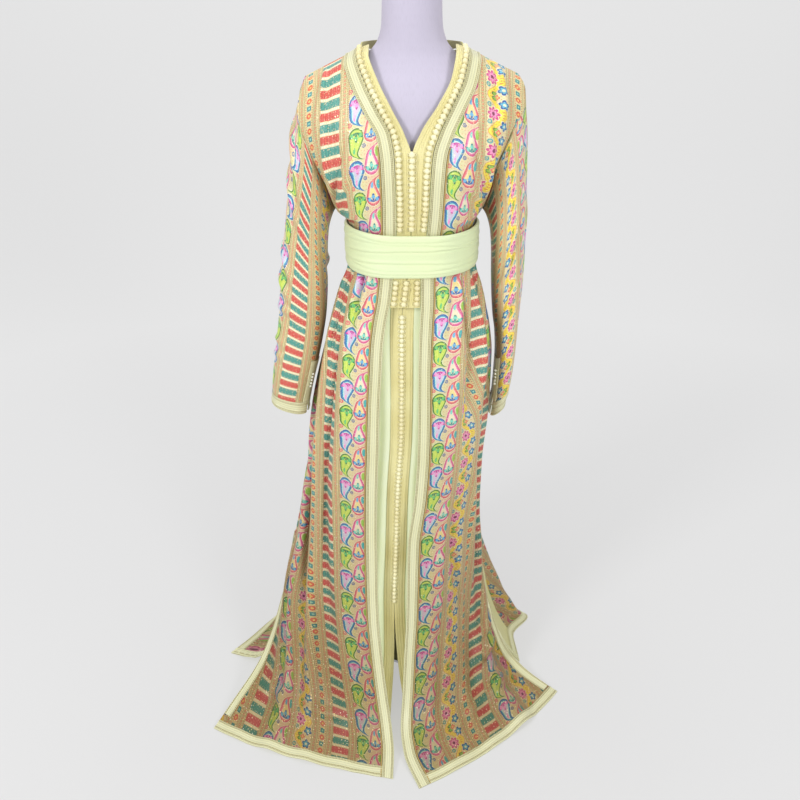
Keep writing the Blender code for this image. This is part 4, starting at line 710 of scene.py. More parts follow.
# ================================================================== shader maths
def lin(r, g, b):
    f = lambda c: c / 12.92 if c <= 0.04045 else ((c + 0.055) / 1.055) ** 2.4
    return tuple(f(v / 255) for v in (r, g, b)) + (1.0,)

class E:
    """A number in a shader graph, with arithmetic."""
    def __init__(self, nt, out):
        self.nt, self.o = nt, out
    def m(self, op, *args, clamp=False):
        n = self.nt.nodes.new("ShaderNodeMath"); n.operation = op; n.use_clamp = clamp
        for k, v in enumerate((self,) + args):
            if isinstance(v, E):
                self.nt.links.new(v.o, n.inputs[k])
            else:
                n.inputs[k].default_value = v
        return E(self.nt, n.outputs[0])
    def __add__(self, o): return self.m("ADD", o)
    def __radd__(self, o): return self.m("ADD", o)
    def __sub__(self, o): return self.m("SUBTRACT", o)
    def __rsub__(self, o): return self.m("MULTIPLY_ADD", -1.0, o)
    def __mul__(self, o): return self.m("MULTIPLY", o)
    def __rmul__(self, o): return self.m("MULTIPLY", o)
    def __truediv__(self, o): return self.m("DIVIDE", o)
    def __neg__(self): return self.m("MULTIPLY", -1.0)
    def abs(self): return self.m("ABSOLUTE")
    def mod(self, p): return self.m("FLOORED_MODULO", p)
    def floor(self): return self.m("FLOOR")
    def sin(self): return self.m("SINE")
    def cos(self): return self.m("COSINE")
    def min(self, o): return self.m("MINIMUM", o)
    def max(self, o): return self.m("MAXIMUM", o)
    def gt(self, v): return self.m("GREATER_THAN", v)
    def lt(self, v): return self.m("LESS_THAN", v)
    def below(self, v, soft=0.0005):
        """1 where self < v, with a soft edge."""
        return self.m("MULTIPLY_ADD", -1.0 / soft, v / soft + 0.5, clamp=True)
    def above(self, v, soft=0.0005):
        return self.m("MULTIPLY_ADD", 1.0 / soft, -v / soft + 0.5, clamp=True)
    def band(self, c, half, soft=0.0005):
        """1 where |self - c| < half."""
        return (self - c).abs().below(half, soft)

def hyp(x, y):
    return (y * y + x * x).m("SQRT")

def over(nt, under, colour, mask):
    """colour laid over under where mask is 1. under and colour are sockets or RGBA tuples."""
    n = nt.nodes.new("ShaderNodeMix"); n.data_type = "RGBA"
    ins = [s for s in n.inputs if s.type == "RGBA"]
    for s, v in ((ins[0], under), (ins[1], colour)):
        if isinstance(v, tuple):
            s.default_value = v
        else:
            nt.links.new(v, s)
    f = [s for s in n.inputs if s.type == "VALUE"][0]
    if isinstance(mask, E):
        nt.links.new(mask.o, f)
    else:
        f.default_value = mask
    return [s for s in n.outputs if s.type == "RGBA"][0]

def ramp(nt, x, stops, mode="LINEAR"):
    n = nt.nodes.new("ShaderNodeValToRGB"); n.color_ramp.interpolation = mode
    els = n.color_ramp.elements
    while len(els) > 1:
        els.remove(els[-1])
    els[0].position = stops[0][0]; els[0].color = stops[0][1]
    for p, c in stops[1:]:
        e = els.new(p); e.color = c
    nt.links.new(x.o, n.inputs[0])
    return n.outputs[0]

def principled(name, **values):
    mat = bpy.data.materials.new(name); mat.use_nodes = True
    nt = mat.node_tree
    b = nt.nodes["Principled BSDF"]
    for k, v in values.items():
        b.inputs[k.replace("_", " ")].default_value = v
    return mat, nt, b

def uv_of(nt):
    n = nt.nodes.new("ShaderNodeUVMap"); n.uv_map = "UVMap"
    s = nt.nodes.new("ShaderNodeSeparateXYZ"); nt.links.new(n.outputs[0], s.inputs[0])
    return E(nt, s.outputs[0]), E(nt, s.outputs[1]), n.outputs[0]

def noise(nt, vec, scale, detail=2.0, rough=0.5, stretch=None):
    if stretch is not None:
        mp = nt.nodes.new("ShaderNodeMapping"); mp.inputs["Scale"].default_value = stretch
        nt.links.new(vec, mp.inputs[0]); vec = mp.outputs[0]
    n = nt.nodes.new("ShaderNodeTexNoise"); n.inputs["Scale"].default_value = scale
    n.inputs["Detail"].default_value = detail; n.inputs["Roughness"].default_value = rough
    nt.links.new(vec, n.inputs["Vector"])
    return E(nt, n.outputs[0])

def bump(nt, b, height, distance, strength=1.0):
    n = nt.nodes.new("ShaderNodeBump"); n.inputs["Distance"].default_value = distance
    n.inputs["Strength"].default_value = strength
    nt.links.new(height.o, n.inputs["Height"]); nt.links.new(n.outputs[0], b.inputs["Normal"])

# ================================================================== the print
REPEAT = 0.240          # width of one repeat of the striped print
P_W, G_W, F_W, D_W, S_W = 0.063, 0.017, 0.046, 0.020, 0.043   # paisleys, gold band, flowers, rings, bars
PAIR = 0.116            # two paisleys
BAR = 0.0217
CREAM, WHITE_ = lin(243, 232, 196), lin(246, 240, 222)
GOLD, GOLD_D, PEACH = lin(231, 194, 122), lin(196, 148, 74), lin(240, 205, 160)

def robe_print():
    mat, nt, b = principled("robe_print", Roughness=0.45, Sheen_Weight=0.10)
    U, V, uvv = uv_of(nt)
    wob = noise(nt, uvv, 300.0, 1.0) - 0.5                      # hand-embroidered edges are never ruled
    U = U + wob * 0.0013
    V = V + (noise(nt, uvv, 210.0, 1.0) - 0.5) * 0.0014
    x = U.mod(REPEAT)
    tone = noise(nt, uvv, 520.0, 2.0)                           # fine uneven stitches over every colour
    # gold bands as the ground of everything, with stitched lines and small dots
    g = (x - 0.0715).abs().min((x - 0.1345).abs()).min((x - 0.1715).abs()).min((x - 0.2315).abs())
    col = over(nt, lin(220, 208, 160), lin(203, 188, 136), g.below(0.0088, 0.002))
    col = over(nt, col, lin(150, 108, 52), g.band(0.0062, 0.0006) * (V.mod(0.0040)).above(0.0012, 0.0008) * 0.85)
    col = over(nt, col, lin(246, 226, 170), g.band(0.0047, 0.0005))
    col = over(nt, col, lin(150, 98, 44), g.band(0.0034, 0.0005) * (V.mod(0.0032)).above(0.0013, 0.0008) * 0.8)
    dotg = hyp(g, V.mod(0.0064) - 0.0032)
    col = over(nt, col, lin(218, 104, 62), dotg.band(0.0014, 0.0007))
    col = over(nt, col, lin(250, 240, 214), dotg.below(0.0006))
    # ---- bars
    xs = x - (0.180 + S_W / 2)
    inS = xs.abs().below(S_W / 2)
    col = over(nt, col, lin(236, 216, 170), inS)
    vb = V.mod(BAR) - BAR / 2
    which = V.mod(2 * BAR).gt(BAR)
    gapd = (vb.abs() - BAR / 2).abs()
    beads = hyp(gapd - 0.0006, xs.mod(0.0040) - 0.0020).below(0.0013)
    col = over(nt, col, lin(250, 240, 214), beads * inS)
    bar = (xs.abs() - 0.0183).max(0.0)
    bar = hyp(bar, (vb.abs() - 0.0047).max(0.0)).below(0.0030, 0.0008)
    barcol = over(nt, lin(224, 76, 62), lin(72, 160, 148), which)
    bar_mask = bar * inS
    col = over(nt, col, barcol, bar_mask)
    # needle lines and beads inside the bars
    hatch = (xs.mod(0.0040) - 0.0020).abs().below(0.0007, 0.0008) * (vb.mod(0.0032) - 0.0016).abs().below(0.0010, 0.0006) * bar_mask
    col = over(nt, col, over(nt, lin(146, 30, 36), lin(22, 96, 104), which), hatch * 0.75)
    spark = hyp(xs.mod(0.0080) - 0.0040, vb.abs() - 0.0052).below(0.0009) * bar_mask
    col = over(nt, col, lin(250, 214, 190), spark * 0.8)
    col = over(nt, col, lin(176, 122, 60), xs.abs().band(0.0207, 0.0007) * V.mod(0.004).above(0.001, 0.0008))
    # ---- rings and squares
    xd = x - (0.143 + D_W / 2)
    inD = xd.abs().below(D_W / 2)
    vd = V.mod(0.0150) - 0.0075
    kind = V.mod(0.0300).gt(0.0150)
    plain_ = kind * -1.0 + 1.0
    col = over(nt, col, lin(226, 207, 150), inD)
    rd = hyp(xd, vd)
    col = over(nt, col, lin(228, 88, 48), rd.band(0.0042, 0.0018) * plain_)
    col = over(nt, col, lin(248, 196, 86), rd.below(0.0022) * plain_)
    sq = (xd.abs().max(vd.abs())).below(0.0050) * kind
    col = over(nt, col, lin(40, 140, 148), sq)
    col = over(nt, col, lin(150, 206, 190), rd.below(0.0022) * kind)
    col = over(nt, col, lin(196, 70, 60), hyp(xd.abs() - 0.0080, V.mod(0.005) - 0.0025).below(0.0012))
    # ---- flowers and vine: yellow scrolls between magenta daisies and blue leaves
    xf = x - (0.080 + F_W / 2)
    inF = xf.abs().below(F_W / 2)
    FP = 0.070
    vf = V.mod(FP) - FP / 2
    col = over(nt, col, lin(234, 214, 164), inF)
    dots = hyp(xf.mod(0.0064) - 0.0032, (V + 0.002).mod(0.0071) - 0.00355).below(0.0009)
    col = over(nt, col, lin(196, 82, 74), dots * inF * 0.85)
    wave = (vf * (2 * math.pi / FP)).cos() * 0.0125
    vine = (xf - wave).abs() - (vf * (4 * math.pi / FP)).cos() * 0.0012
    col = over(nt, col, lin(224, 132, 40), vine.below(0.0076) * inF)
    col = over(nt, col, lin(252, 222, 52), vine.below(0.0064) * inF)
    col = over(nt, col, lin(226, 140, 52), hyp(vine - 0.0006, V.mod(0.0052) - 0.0026).below(0.0013) * inF)
    sprig = hyp(xf + 0.0175, vf.abs() - 0.0165)                  # curls and small leaves
    col = over(nt, col, lin(70, 164, 170), (sprig.band(0.0034, 0.0012)).max(sprig.below(0.0010)) * inF)
    leaf = hyp((xf + 0.0040) * 0.55, vf.abs() - FP * 0.44)
    col = over(nt, col, lin(66, 128, 52), leaf.below(0.0042) * inF)
    col = over(nt, col, lin(150, 194, 62), leaf.below(0.0028) * inF)
    tip = hyp(xf - 0.0186, vf.abs() - 0.0130)
    col = over(nt, col, lin(226, 84, 48), tip.below(0.0030) * inF)
    for cx, cv, petal, n_, c1, c2, c3 in ((-0.0085, None, 0.0138, 8, lin(214, 50, 138), lin(248, 150, 200), lin(130, 16, 86)),
                                         (0.0135, 0.0205, 0.0102, 5, lin(24, 84, 160), lin(84, 178, 212), lin(240, 236, 200)),
                                         (0.0020, FP / 2, 0.0060, 4, lin(226, 78, 60), lin(246, 150, 90), lin(252, 226, 110))):
        px, py = xf - cx, (vf if cv is None else vf.abs() - cv)
        r = hyp(px, py)
        th = px.m("ARCTAN2", py)
        edge = (th * (n_ / 2.0)).cos().abs() * 0.42 + 0.58
        col = over(nt, col, lin(246, 232, 196), (r - edge * (petal * 1.14)).below(0.0) * inF)
        col = over(nt, col, c1, (r - edge * petal).below(0.0) * inF)
        col = over(nt, col, c2, (r - edge * (petal * 0.66)).below(0.0) * inF)
        col = over(nt, col, c3, r.below(petal * 0.26) * inF)
    # ---- paisleys: a round head running into a tail that bends aside, in two interlocking columns
    inP = x.below(P_W)
    ground = ramp(nt, x * (1.0 / P_W), [(0.0, lin(218, 214, 154)), (0.45, lin(224, 212, 158)), (0.75, lin(230, 194, 162)), (1.0, lin(218, 198, 146))])
    col = over(nt, col, ground, inP)
    fill = hyp(x.mod(0.0062) - 0.0031, V.mod(0.0071) - 0.00355)
    col = over(nt, col, lin(222, 122, 84), fill.below(0.0010) * inP * 0.65)
    step_ = PAIR / 2
    for side in (0, 1):
        cx, R, L, B, C, fat = ((0.0172, 0.0182, 0.0385, -1.14, 1.94, 0.58), (0.0476, 0.0168, 0.0380, -0.62, 1.60, 0.80))[side]
        px = (x - cx) * 1.12
        vv = V if side == 0 else V + step_ * 0.44
        half = vv.mod(PAIR).gt(step_)
        yy = vv.mod(step_) - step_ * (0.33 if side == 0 else 0.67)
        py = yy if side == 0 else yy * -1.0                      # towards the tail: down on the left, up on the right
        tt = (py * (1.0 / L)).m("MULTIPLY_ADD", 1.0, 0.0, clamp=True)
        centre = (tt * tt * B + tt.m("POWER", 5.0) * C) * R
        wide = (1.0 - tt).m("POWER", fat).max(0.15) * R
        tail = ((px - centre).abs() - wide) * 0.90 + (py - L).max(0.0)
        ball = hyp(px, py) - R
        isdown = py.gt(0.0)
        d = tail * isdown + ball * (isdown * -1.0 + 1.0)
        t = d.m("MULTIPLY_ADD", 1 / 0.017, 0.875, clamp=True)    # 0 at 15 mm inside, 0.875 on the outline, 1 at 2 mm outside
        e = 0.012
        if side == 0:
            A = [(0.0, lin(222, 196, 226)), (0.36, lin(214, 196, 226)), (0.46, lin(190, 214, 222)), (0.52, lin(226, 244, 240)), (0.57, lin(60, 176, 200)), (0.67, lin(26, 132, 190)), (0.78, lin(22, 98, 170)), (0.875, lin(20, 84, 146)), (0.875 + e, lin(236, 240, 226)), (1.0, lin(238, 226, 186))]
            B_ = [(0.0, lin(178, 210, 70)), (0.40, lin(214, 226, 84)), (0.54, lin(190, 214, 62)), (0.62, lin(220, 232, 110)), (0.68, lin(146, 190, 44)), (0.75, lin(84, 140, 34)), (0.875, lin(58, 98, 36)), (0.875 + e, lin(236, 238, 196)), (1.0, lin(238, 226, 186))]
            c1, c2 = over(nt, lin(206, 40, 158), lin(24, 128, 84), half), over(nt, lin(246, 150, 214), lin(92, 196, 110), half)
        else:
            A = [(0.0, lin(236, 234, 190)), (0.46, lin(240, 222, 196)), (0.52, lin(248, 232, 224)), (0.59, lin(240, 140, 180)), (0.72, lin(224, 82, 146)), (0.875, lin(200, 50, 116)), (0.875 + e, lin(246, 228, 206)), (1.0, lin(240, 204, 170))]
            B_ = [(0.0, lin(236, 226, 150)), (0.46, lin(244, 214, 140)), (0.52, lin(250, 234, 200)), (0.59, lin(242, 150, 146)), (0.72, lin(226, 94, 106)), (0.875, lin(198, 54, 80)), (0.875 + e, lin(246, 228, 206)), (1.0, lin(240, 204, 170))]
            c1, c2 = over(nt, lin(20, 140, 140), lin(24, 88, 170), half), over(nt, lin(120, 212, 196), lin(96, 176, 224), half)
        body = over(nt, ramp(nt, t, A), ramp(nt, t, B_), half)
        near = d.below(0.0014) * inP
        col = over(nt, col, body, near)
        # a lotus of three leaves in the head, a drop down the tail
        hx, hy = px, py + R * 0.58
        hr = hyp(hx, hy)
        th = hx.m("ARCTAN2", hy)
        pet = (th * 3.1).cos().abs() * th.abs().below(1.45, 0.1)
        col = over(nt, col, c1, (hr - pet * (R * 1.00)).below(0.0) * near)
        col = over(nt, col, c2, ((hr - R * 0.60).abs() - pet * (R * 0.20)).below(0.0) * near)
        leaf = hyp((px - centre) * 2.1, py - L * 0.58)
        col = over(nt, col, c2, leaf.below(0.0058) * near)
    # small spirals at the edge and between the columns
    vs = V.mod(step_)
    sp = hyp(x - 0.0040, vs - step_ * 0.90)
    col = over(nt, col, lin(226, 62, 100), (sp.band(0.0034, 0.0010)).max(sp.below(0.0013)) * inP)
    sp2 = hyp(x - 0.0330, (V + 0.004).mod(step_) - step_ * 0.66)
    col = over(nt, col, lin(70, 96, 160), (sp2.band(0.0030, 0.0009)).max(sp2.below(0.0012)) * inP)
    sp3 = hyp((x - 0.0590) * 2.3, V.mod(step_) - step_ * 0.83)
    col = over(nt, col, over(nt, lin(52, 176, 180), lin(150, 200, 60), V.mod(PAIR).gt(step_)), sp3.below(0.0088) * inP)
    edge = x.band(0.0008, 0.0008).max(x.band(P_W - 0.0008, 0.0008))
    col = over(nt, col, lin(190, 104, 60), edge * V.mod(0.0036).above(0.001, 0.0008))
    # thread texture, painted shade that darkens the print towards the floor where less light falls (with a browner tint
    # of the cloth as well), and sequins
    thread = noise(nt, uvv, 1.0, 2.0, 0.6, stretch=(1100.0, 420.0, 1.0))
    col = over(nt, col, lin(96, 58, 22), thread.above(0.56, 0.22) * 0.30)
    col = over(nt, col, lin(255, 246, 224), tone.above(0.60, 0.16) * 0.20)
    geo = nt.nodes.new("ShaderNodeNewGeometry"); sep = nt.nodes.new("ShaderNodeSeparateXYZ")
    nt.links.new(geo.outputs["Position"], sep.inputs[0]); z = E(nt, sep.outputs[2])
    # painted shade: the print is multiplied darker and browner towards the floor, standing for the light falling off
    # lower down; partly a browner tint of the cloth
    low = z.m("MULTIPLY_ADD", -1 / 0.80, 1.10, clamp=True)
    mul = nt.nodes.new("ShaderNodeMix"); mul.data_type = "RGBA"; mul.blend_type = "MULTIPLY"
    ins = [s for s in mul.inputs if s.type == "RGBA"]
    nt.links.new(low.o, [s for s in mul.inputs if s.type == "VALUE"][0]); nt.links.new(col, ins[0]); ins[1].default_value = (0.48, 0.405, 0.28, 1)
    col = [s for s in mul.outputs if s.type == "RGBA"][0]
    # painted shade: an ambient-occlusion multiply darkens the folds and the gap between sleeve and body
    ao = nt.nodes.new("ShaderNodeAmbientOcclusion"); ao.samples = 5; ao.inputs["Distance"].default_value = 0.09
    deep = E(nt, ao.outputs["AO"]).m("MULTIPLY_ADD", -1.5, 1.32, clamp=True)
    mul = nt.nodes.new("ShaderNodeMix"); mul.data_type = "RGBA"; mul.blend_type = "MULTIPLY"
    ins = [s for s in mul.inputs if s.type == "RGBA"]
    nt.links.new(deep.o, [s for s in mul.inputs if s.type == "VALUE"][0]); nt.links.new(col, ins[0]); ins[1].default_value = (0.44, 0.37, 0.29, 1)
    col = [s for s in mul.outputs if s.type == "RGBA"][0]
    hs = nt.nodes.new("ShaderNodeHueSaturation"); hs.inputs["Saturation"].default_value = 0.96; hs.inputs["Value"].default_value = 1.12
    nt.links.new(col, hs.inputs["Color"]); col = hs.outputs["Color"]
    mul = nt.nodes.new("ShaderNodeMix"); mul.data_type = "RGBA"; mul.blend_type = "MULTIPLY"
    ins = [s for s in mul.inputs if s.type == "RGBA"]
    [s for s in mul.inputs if s.type == "VALUE"][0].default_value = 1.0
    nt.links.new(col, ins[0]); ins[1].default_value = (0.95, 1.0, 0.97, 1)
    col = [s for s in mul.outputs if s.type == "RGBA"][0]
    vor = nt.nodes.new("ShaderNodeTexVoronoi"); vor.inputs["Scale"].default_value = 230.0; nt.links.new(uvv, vor.inputs["Vector"])
    cr = nt.nodes.new("ShaderNodeSeparateColor"); nt.links.new(vor.outputs["Color"], cr.inputs[0])
    pick = E(nt, cr.outputs[0]).above(0.66, 0.01)
    seq = E(nt, vor.outputs["Distance"]).below(0.26, 0.08) * pick
    col = over(nt, col, ramp(nt, E(nt, cr.outputs[1]), [(0.0, lin(255, 248, 226)), (0.4, lin(255, 226, 150)), (0.75, lin(250, 210, 120)), (1.0, lin(255, 250, 250))]), seq * 0.62)
    nt.links.new(col, b.inputs["Base Color"])
    nt.links.new((seq * 0.35).o, b.inputs["Metallic"])
    nt.links.new((seq * -0.2 + 0.48).o, b.inputs["Roughness"])
    h = thread * 0.35 + seq * 0.8 + bar_mask * 0.5
    bump(nt, b, h, 0.0007, 0.8)
    return mat

def satin(name, colour, rough=0.36, weave=900.0, stitch=None, tint=None, mottle=0.10, sheen=0.25, bumpd=0.00025, rib=0.0):
    mat, nt, b = principled(name, Roughness=rough, Sheen_Weight=sheen, Sheen_Roughness=0.4)
    U, V, uvv = uv_of(nt)
    n1 = noise(nt, uvv, 9.0, 3.0)
    # random patches blend the colour towards the tint colour (by default a darker copy of it)
    col = over(nt, colour, tint or tuple(c * 0.80 for c in colour[:3]) + (1.0,), n1.above(0.52, 0.35) * mottle * 3)
    wv = noise(nt, uvv, 1.0, 1.0, 0.5, stretch=(weave, weave * 0.16, 1.0))
    col = over(nt, col, tuple(c * 0.62 for c in colour[:3]) + (1.0,), wv.above(0.62, 0.2) * 0.18)
    h = wv * 0.6 + n1 * 0.4
    if rib:                                        # rows of machine stitching along the strip
        rows = (U.mod(rib) - rib / 2).abs().above(rib * 0.30, rib * 0.2)
        col = over(nt, col, tuple(c * 0.60 for c in colour[:3]) + (1.0,), rows * V.mod(0.0031).above(0.0009, 0.0009) * 0.55)
        h = h - rows * 1.2
    if stitch:
        for u0, period in stitch:
            line = U.band(u0, 0.0007) * V.mod(period).above(period * 0.30, 0.0006)
            col = over(nt, col, lin(150, 132, 66), line * 0.80)
            h = h - line * 0.8
    nt.links.new(col, b.inputs["Base Color"])
    bump(nt, b, h, bumpd, 0.8)
    return mat

# ================================================================== materials
M_PRINT = robe_print()
M_INSIDE = satin("robe_inside", lin(206, 202, 146), 0.40, 700.0, tint=lin(176, 170, 108))
M_SATIN = satin("pale_satin", lin(229, 228, 188), 0.38, 900.0, tint=lin(208, 205, 148), rib=0.0052, stitch=[(0.0030, 0.0036), (0.0056, 0.0036), (0.0203, 0.0036), (0.0230, 0.0036)])
M_MINT = satin("mint_satin", lin(246, 253, 222), 0.28, 800.0, tint=lin(230, 234, 168))
_b = next(n for n in M_MINT.node_tree.nodes if n.type == "BSDF_PRINCIPLED")
_b.inputs["Emission Color"].default_value = (0.80, 0.92, 0.60, 1.0); _b.inputs["Emission Strength"].default_value = 0.17   # painted light: a faint glow brightens the mint satin in the shade behind the robe's front edges, standing in for light through the thin cloth
M_BRAID = satin("sfifa_braid", lin(240, 232, 172), 0.48, 1200.0, tint=lin(214, 200, 126), mottle=0.25, rib=0.0024)
M_CORD = satin("gold_cord", lin(196, 168, 98), 0.42, 1500.0, tint=lin(150, 118, 58))
M_KNOT = satin("knot_buttons", lin(250, 245, 206), 0.48, 1500.0, tint=lin(226, 212, 150), mottle=0.25)
M_SASH = satin("sash_crepe", lin(228, 240, 190), 0.55, 1400.0, tint=lin(216, 234, 200), sheen=0.30)
M_WHITE = satin("cuff_buttons", lin(240, 238, 222), 0.35, 1500.0)
M_FORM = satin("form_skin", lin(197, 191, 209), 0.80, 500.0, tint=lin(186, 180, 199), sheen=0.1)
M_METAL, _nt, _b = principled("stand_metal", Metallic=0.9)
_n = _nt.nodes.new("ShaderNodeNewGeometry")
_r = noise(_nt, _n.outputs["Position"], 38.0, 3.0)
_nt.links.new((_r * 0.12 + 0.30).o, _b.inputs["Roughness"])
_nt.links.new(over(_nt, lin(206, 206, 212), lin(188, 190, 198), _r.above(0.5, 0.3)), _b.inputs["Base Color"])
bump(_nt, _b, _r, 0.0002, 0.4)
SLOT = {"robe_print": M_PRINT}

def ready(ob, node, slot, **sheet):
    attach(ob, "root")
    for n in ([node] if isinstance(node, str) else node):
        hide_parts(n)
    return ob

# ================================================================== the robe's fronts
# name, u (share of width) and v (cloth distance from the shoulder) of both ends, half width, height
CREASES_L = (
    ("pull at the sash 1", 0.55, 0.395, 0.42, 0.66, 0.0085, 0.0060),
    ("pull at the sash 2", 0.80, 0.395, 0.72, 0.70, 0.0080, 0.0065),
    ("pull at the sash 3", 0.30, 0.400, 0.26, 0.60, 0.0070, 0.0045),
    ("nip at the sash 1",  0.66, 0.400, 0.60, 0.66, 0.0055, -0.0060, 1.0),
    ("nip at the sash 2",  0.42, 0.400, 0.36, 0.58, 0.0050, -0.0045, 1.0),
    ("bust drape",         0.62, 0.120, 0.88, 0.325, 0.0120, 0.0070),
    ("bust drape low",     0.45, 0.215, 0.80, 0.345, 0.0100, 0.0060),
    ("bust valley",        0.50, 0.160, 0.84, 0.338, 0.0065, -0.0050, 1.0),
    ("shoulder drape",     0.55, 0.020, 0.86, 0.200, 0.0130, 0.0060),
    ("blouse at the sash", 0.35, 0.325, 0.78, 0.350, 0.0080, 0.0060),
    ("deep pleat",         0.86, 0.640, 0.56, 1.360, 0.0080, -0.0170, 1.0),
    ("pleat lip outside",  0.96, 0.640, 0.66, 1.380, 0.0120, 0.0120, 1.0),
    ("pleat lip inside",   0.77, 0.600, 0.48, 1.380, 0.0120, 0.0110, 1.0),
    ("valley by the bars", 0.57, 0.520, 0.35, 1.320, 0.0080, -0.0120, 1.0),
    ("ridge by the paisleys", 0.46, 0.560, 0.26, 1.340, 0.0120, 0.0085, 1.0),
    ("side fold",          0.93, 0.900, 0.86, 1.480, 0.0120, 0.0110),
    ("low valley outside", 0.76, 1.080, 0.76, 1.580, 0.0100, -0.0110, 1.0),
    ("low ridge outside",  0.84, 1.060, 0.87, 1.590, 0.0130, 0.0100, 1.0),
    ("low valley inside",  0.44, 1.140, 0.48, 1.590, 0.0090, -0.0090, 1.0),
    ("low ridge inside",   0.53, 1.120, 0.58, 1.600, 0.0130, 0.0095, 1.0),
    ("low ridge border",   0.20, 1.050, 0.24, 1.560, 0.0120, 0.0055, 1.0),
    ("floor break 1",      0.30, 1.520, 0.58, 1.560, 0.0120, 0.0060),
    ("floor break 2",      0.60, 1.570, 0.90, 1.530, 0.0110, 0.0065),
)
CREASES_R = (
    ("pull at the sash 1", 0.44, 0.395, 0.36, 0.64, 0.0080, 0.0055),
    ("pull at the sash 2", 0.78, 0.395, 0.86, 0.66, 0.0080, 0.0060),
    ("bust drape",         0.58, 0.125, 0.90, 0.318, 0.0120, 0.0072),
    ("bust drape low",     0.40, 0.230, 0.78, 0.342, 0.0095, 0.0060),
    ("bust valley",        0.48, 0.170, 0.84, 0.332, 0.0065, -0.0055, 1.0),
    ("shoulder drape",     0.50, 0.015, 0.88, 0.180, 0.0130, 0.0065),
    ("blouse at the sash", 0.30, 0.330, 0.76, 0.350, 0.0080, 0.0058),
    ("tuck under the sash", 0.56, 0.390, 0.44, 0.840, 0.0070, -0.0100, 1.0),
    ("tuck lip inside",    0.46, 0.395, 0.35, 0.860, 0.0105, 0.0075, 1.0),
    ("tuck lip outside",   0.68, 0.400, 0.54, 0.880, 0.0115, 0.0080, 1.0),
    ("long valley outside", 0.80, 0.680, 0.70, 1.400, 0.0080, -0.0100, 1.0),
    ("long ridge outside", 0.90, 0.640, 0.80, 1.420, 0.0120, 0.0110, 1.0),
    ("long ridge middle",  0.62, 0.820, 0.60, 1.420, 0.0120, 0.0090, 1.0),
    ("long valley inside", 0.44, 0.900, 0.46, 1.480, 0.0085, -0.0085, 1.0),
    ("low ridge inside",   0.33, 0.980, 0.33, 1.540, 0.0120, 0.0060, 1.0),
    ("low valley outside", 0.84, 1.200, 0.92, 1.580, 0.0085, -0.0100, 1.0),
    ("low valley middle",  0.66, 1.300, 0.74, 1.590, 0.0090, -0.0085, 1.0),
    ("floor break 1",      0.52, 1.480, 0.94, 1.400, 0.0100, 0.0100),
    ("floor break 2",      0.40, 1.560, 0.90, 1.520, 0.0105, 0.0085),
    ("floor break 3",      0.60, 1.420, 0.96, 1.340, 0.0090, 0.0070),
)
def soft_ripple(seed, amp=0.0010, start=9.0):
    r = np.random.default_rng(seed)
    ks = r.uniform(20, 75, 7); ph = r.uniform(0, 6.28, 7); lv = r.uniform(-5, 5, 7); am = r.uniform(0.4, 1.0, 7)
    def f(S, T, U, V, W):
        d = sum(a * np.sin(k * U + l * V * 2 + p) for k, p, l, a in zip(ks, ph, lv, am)) / 7
        return d * amp * (0.55 + 1.6 * step(T, start, start + 8))
    return f

FRONT = {}
for side in ("l", "r"):
    fn, flip = front_fn(side)
    FRONT[side] = (Surf(fn, flip, 25, ns=201, nt=601, creases=CREASES_L if side == "l" else CREASES_R,
                        ripple=soft_ripple(3 if side == "l" else 5, 0.0026), edge=(0.05, 0.97)), flip)

def front_uv(side, surf, s, t):
    u, v = surf.uv(s, t)
    tab = FL if side == "l" else FR
    grain = np.abs(smooth(tab["xi"], np.minimum(t, 5.0)) - tab["xi"][5]) * 1.10     # the neck edge cuts across the grain
    grain = np.where(t < 5.0, grain, 0.0)
    # cloth hidden inside the deepest folds, so the stripes jump across them
    if side == "l":
        hid = 0.046 * step(v, 0.50, 0.66) * (1 - step(v, 1.08, 1.34))
        at_u = 0.206
    else:
        hid = 0.088 * step(v, 0.36, 0.40) * (1 - step(v, 0.60, 0.86))
        at_u = 0.106
    across = u + grain - (BORDER_W + 0.003) + hid * step(u, at_u - 0.006, at_u + 0.006)
    return ((P_W - across) if side == "l" else across), v + (0.013 if side == "l" else 0.047)

NC, NR = ((90, 214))
for side in ("l", "r"):
    surf, flip = FRONT[side]
    t = surf.t_even(NR)
    s = np.linspace(0, 1, NC)
    S, T = np.meshgrid(s, t)
    P, N = surf.at(S, T)
    ob = shell("cloth_front_" + side, P, N, 0.0, CLOTH, (M_PRINT, M_INSIDE), front_uv(side, surf, S, T), flip)
    ready(ob, "robe_front_" + side, "robe_print", flat=(0.47, 1.65) if side == "l" else (0.46, 1.66), held="draped",
          rests_on=["form_torso", "under_front_" + side], area=0.49 if side == "l" else 0.46)

LO = CLOTH + GAP
def band_strip(name, surf, flip, t, us, from_out, height, mats, uv_v0=0.0):
    """A sewn band along a side edge of a panel, with a cross profile: us are cloth distances from that edge."""
    S = surf.s_at(us, t, from_out)
    T = np.repeat(t[:, None], len(us), 1)
    P, N = surf.at(S, T)
    V = np.interp(t, surf.t, surf.V)
    UV = (np.broadcast_to(np.asarray(us)[None, :], S.shape), np.broadcast_to(V[:, None], S.shape))
    if from_out:
        P, N, S = P[:, ::-1], N[:, ::-1], S[:, ::-1]
        UV = (UV[0][:, ::-1], UV[1][:, ::-1])
        hh = np.asarray(height)[None, ::-1]
    else:
        hh = np.asarray(height)[None, :]
    return shell(name, P, N, LO, LO + hh + 0 * S, mats, UV, flip)

def cord_profile(us, lines, base=0.0008, high=0.0013, half=0.0010):
    us = np.asarray(us)
    h = np.full(len(us), base)
    for c in lines:
        h = np.maximum(h, base + high * np.sqrt(np.maximum(0, 1 - ((us - c) / half) ** 2)))
    h[0] = h[-1] = 0.0006
    return h

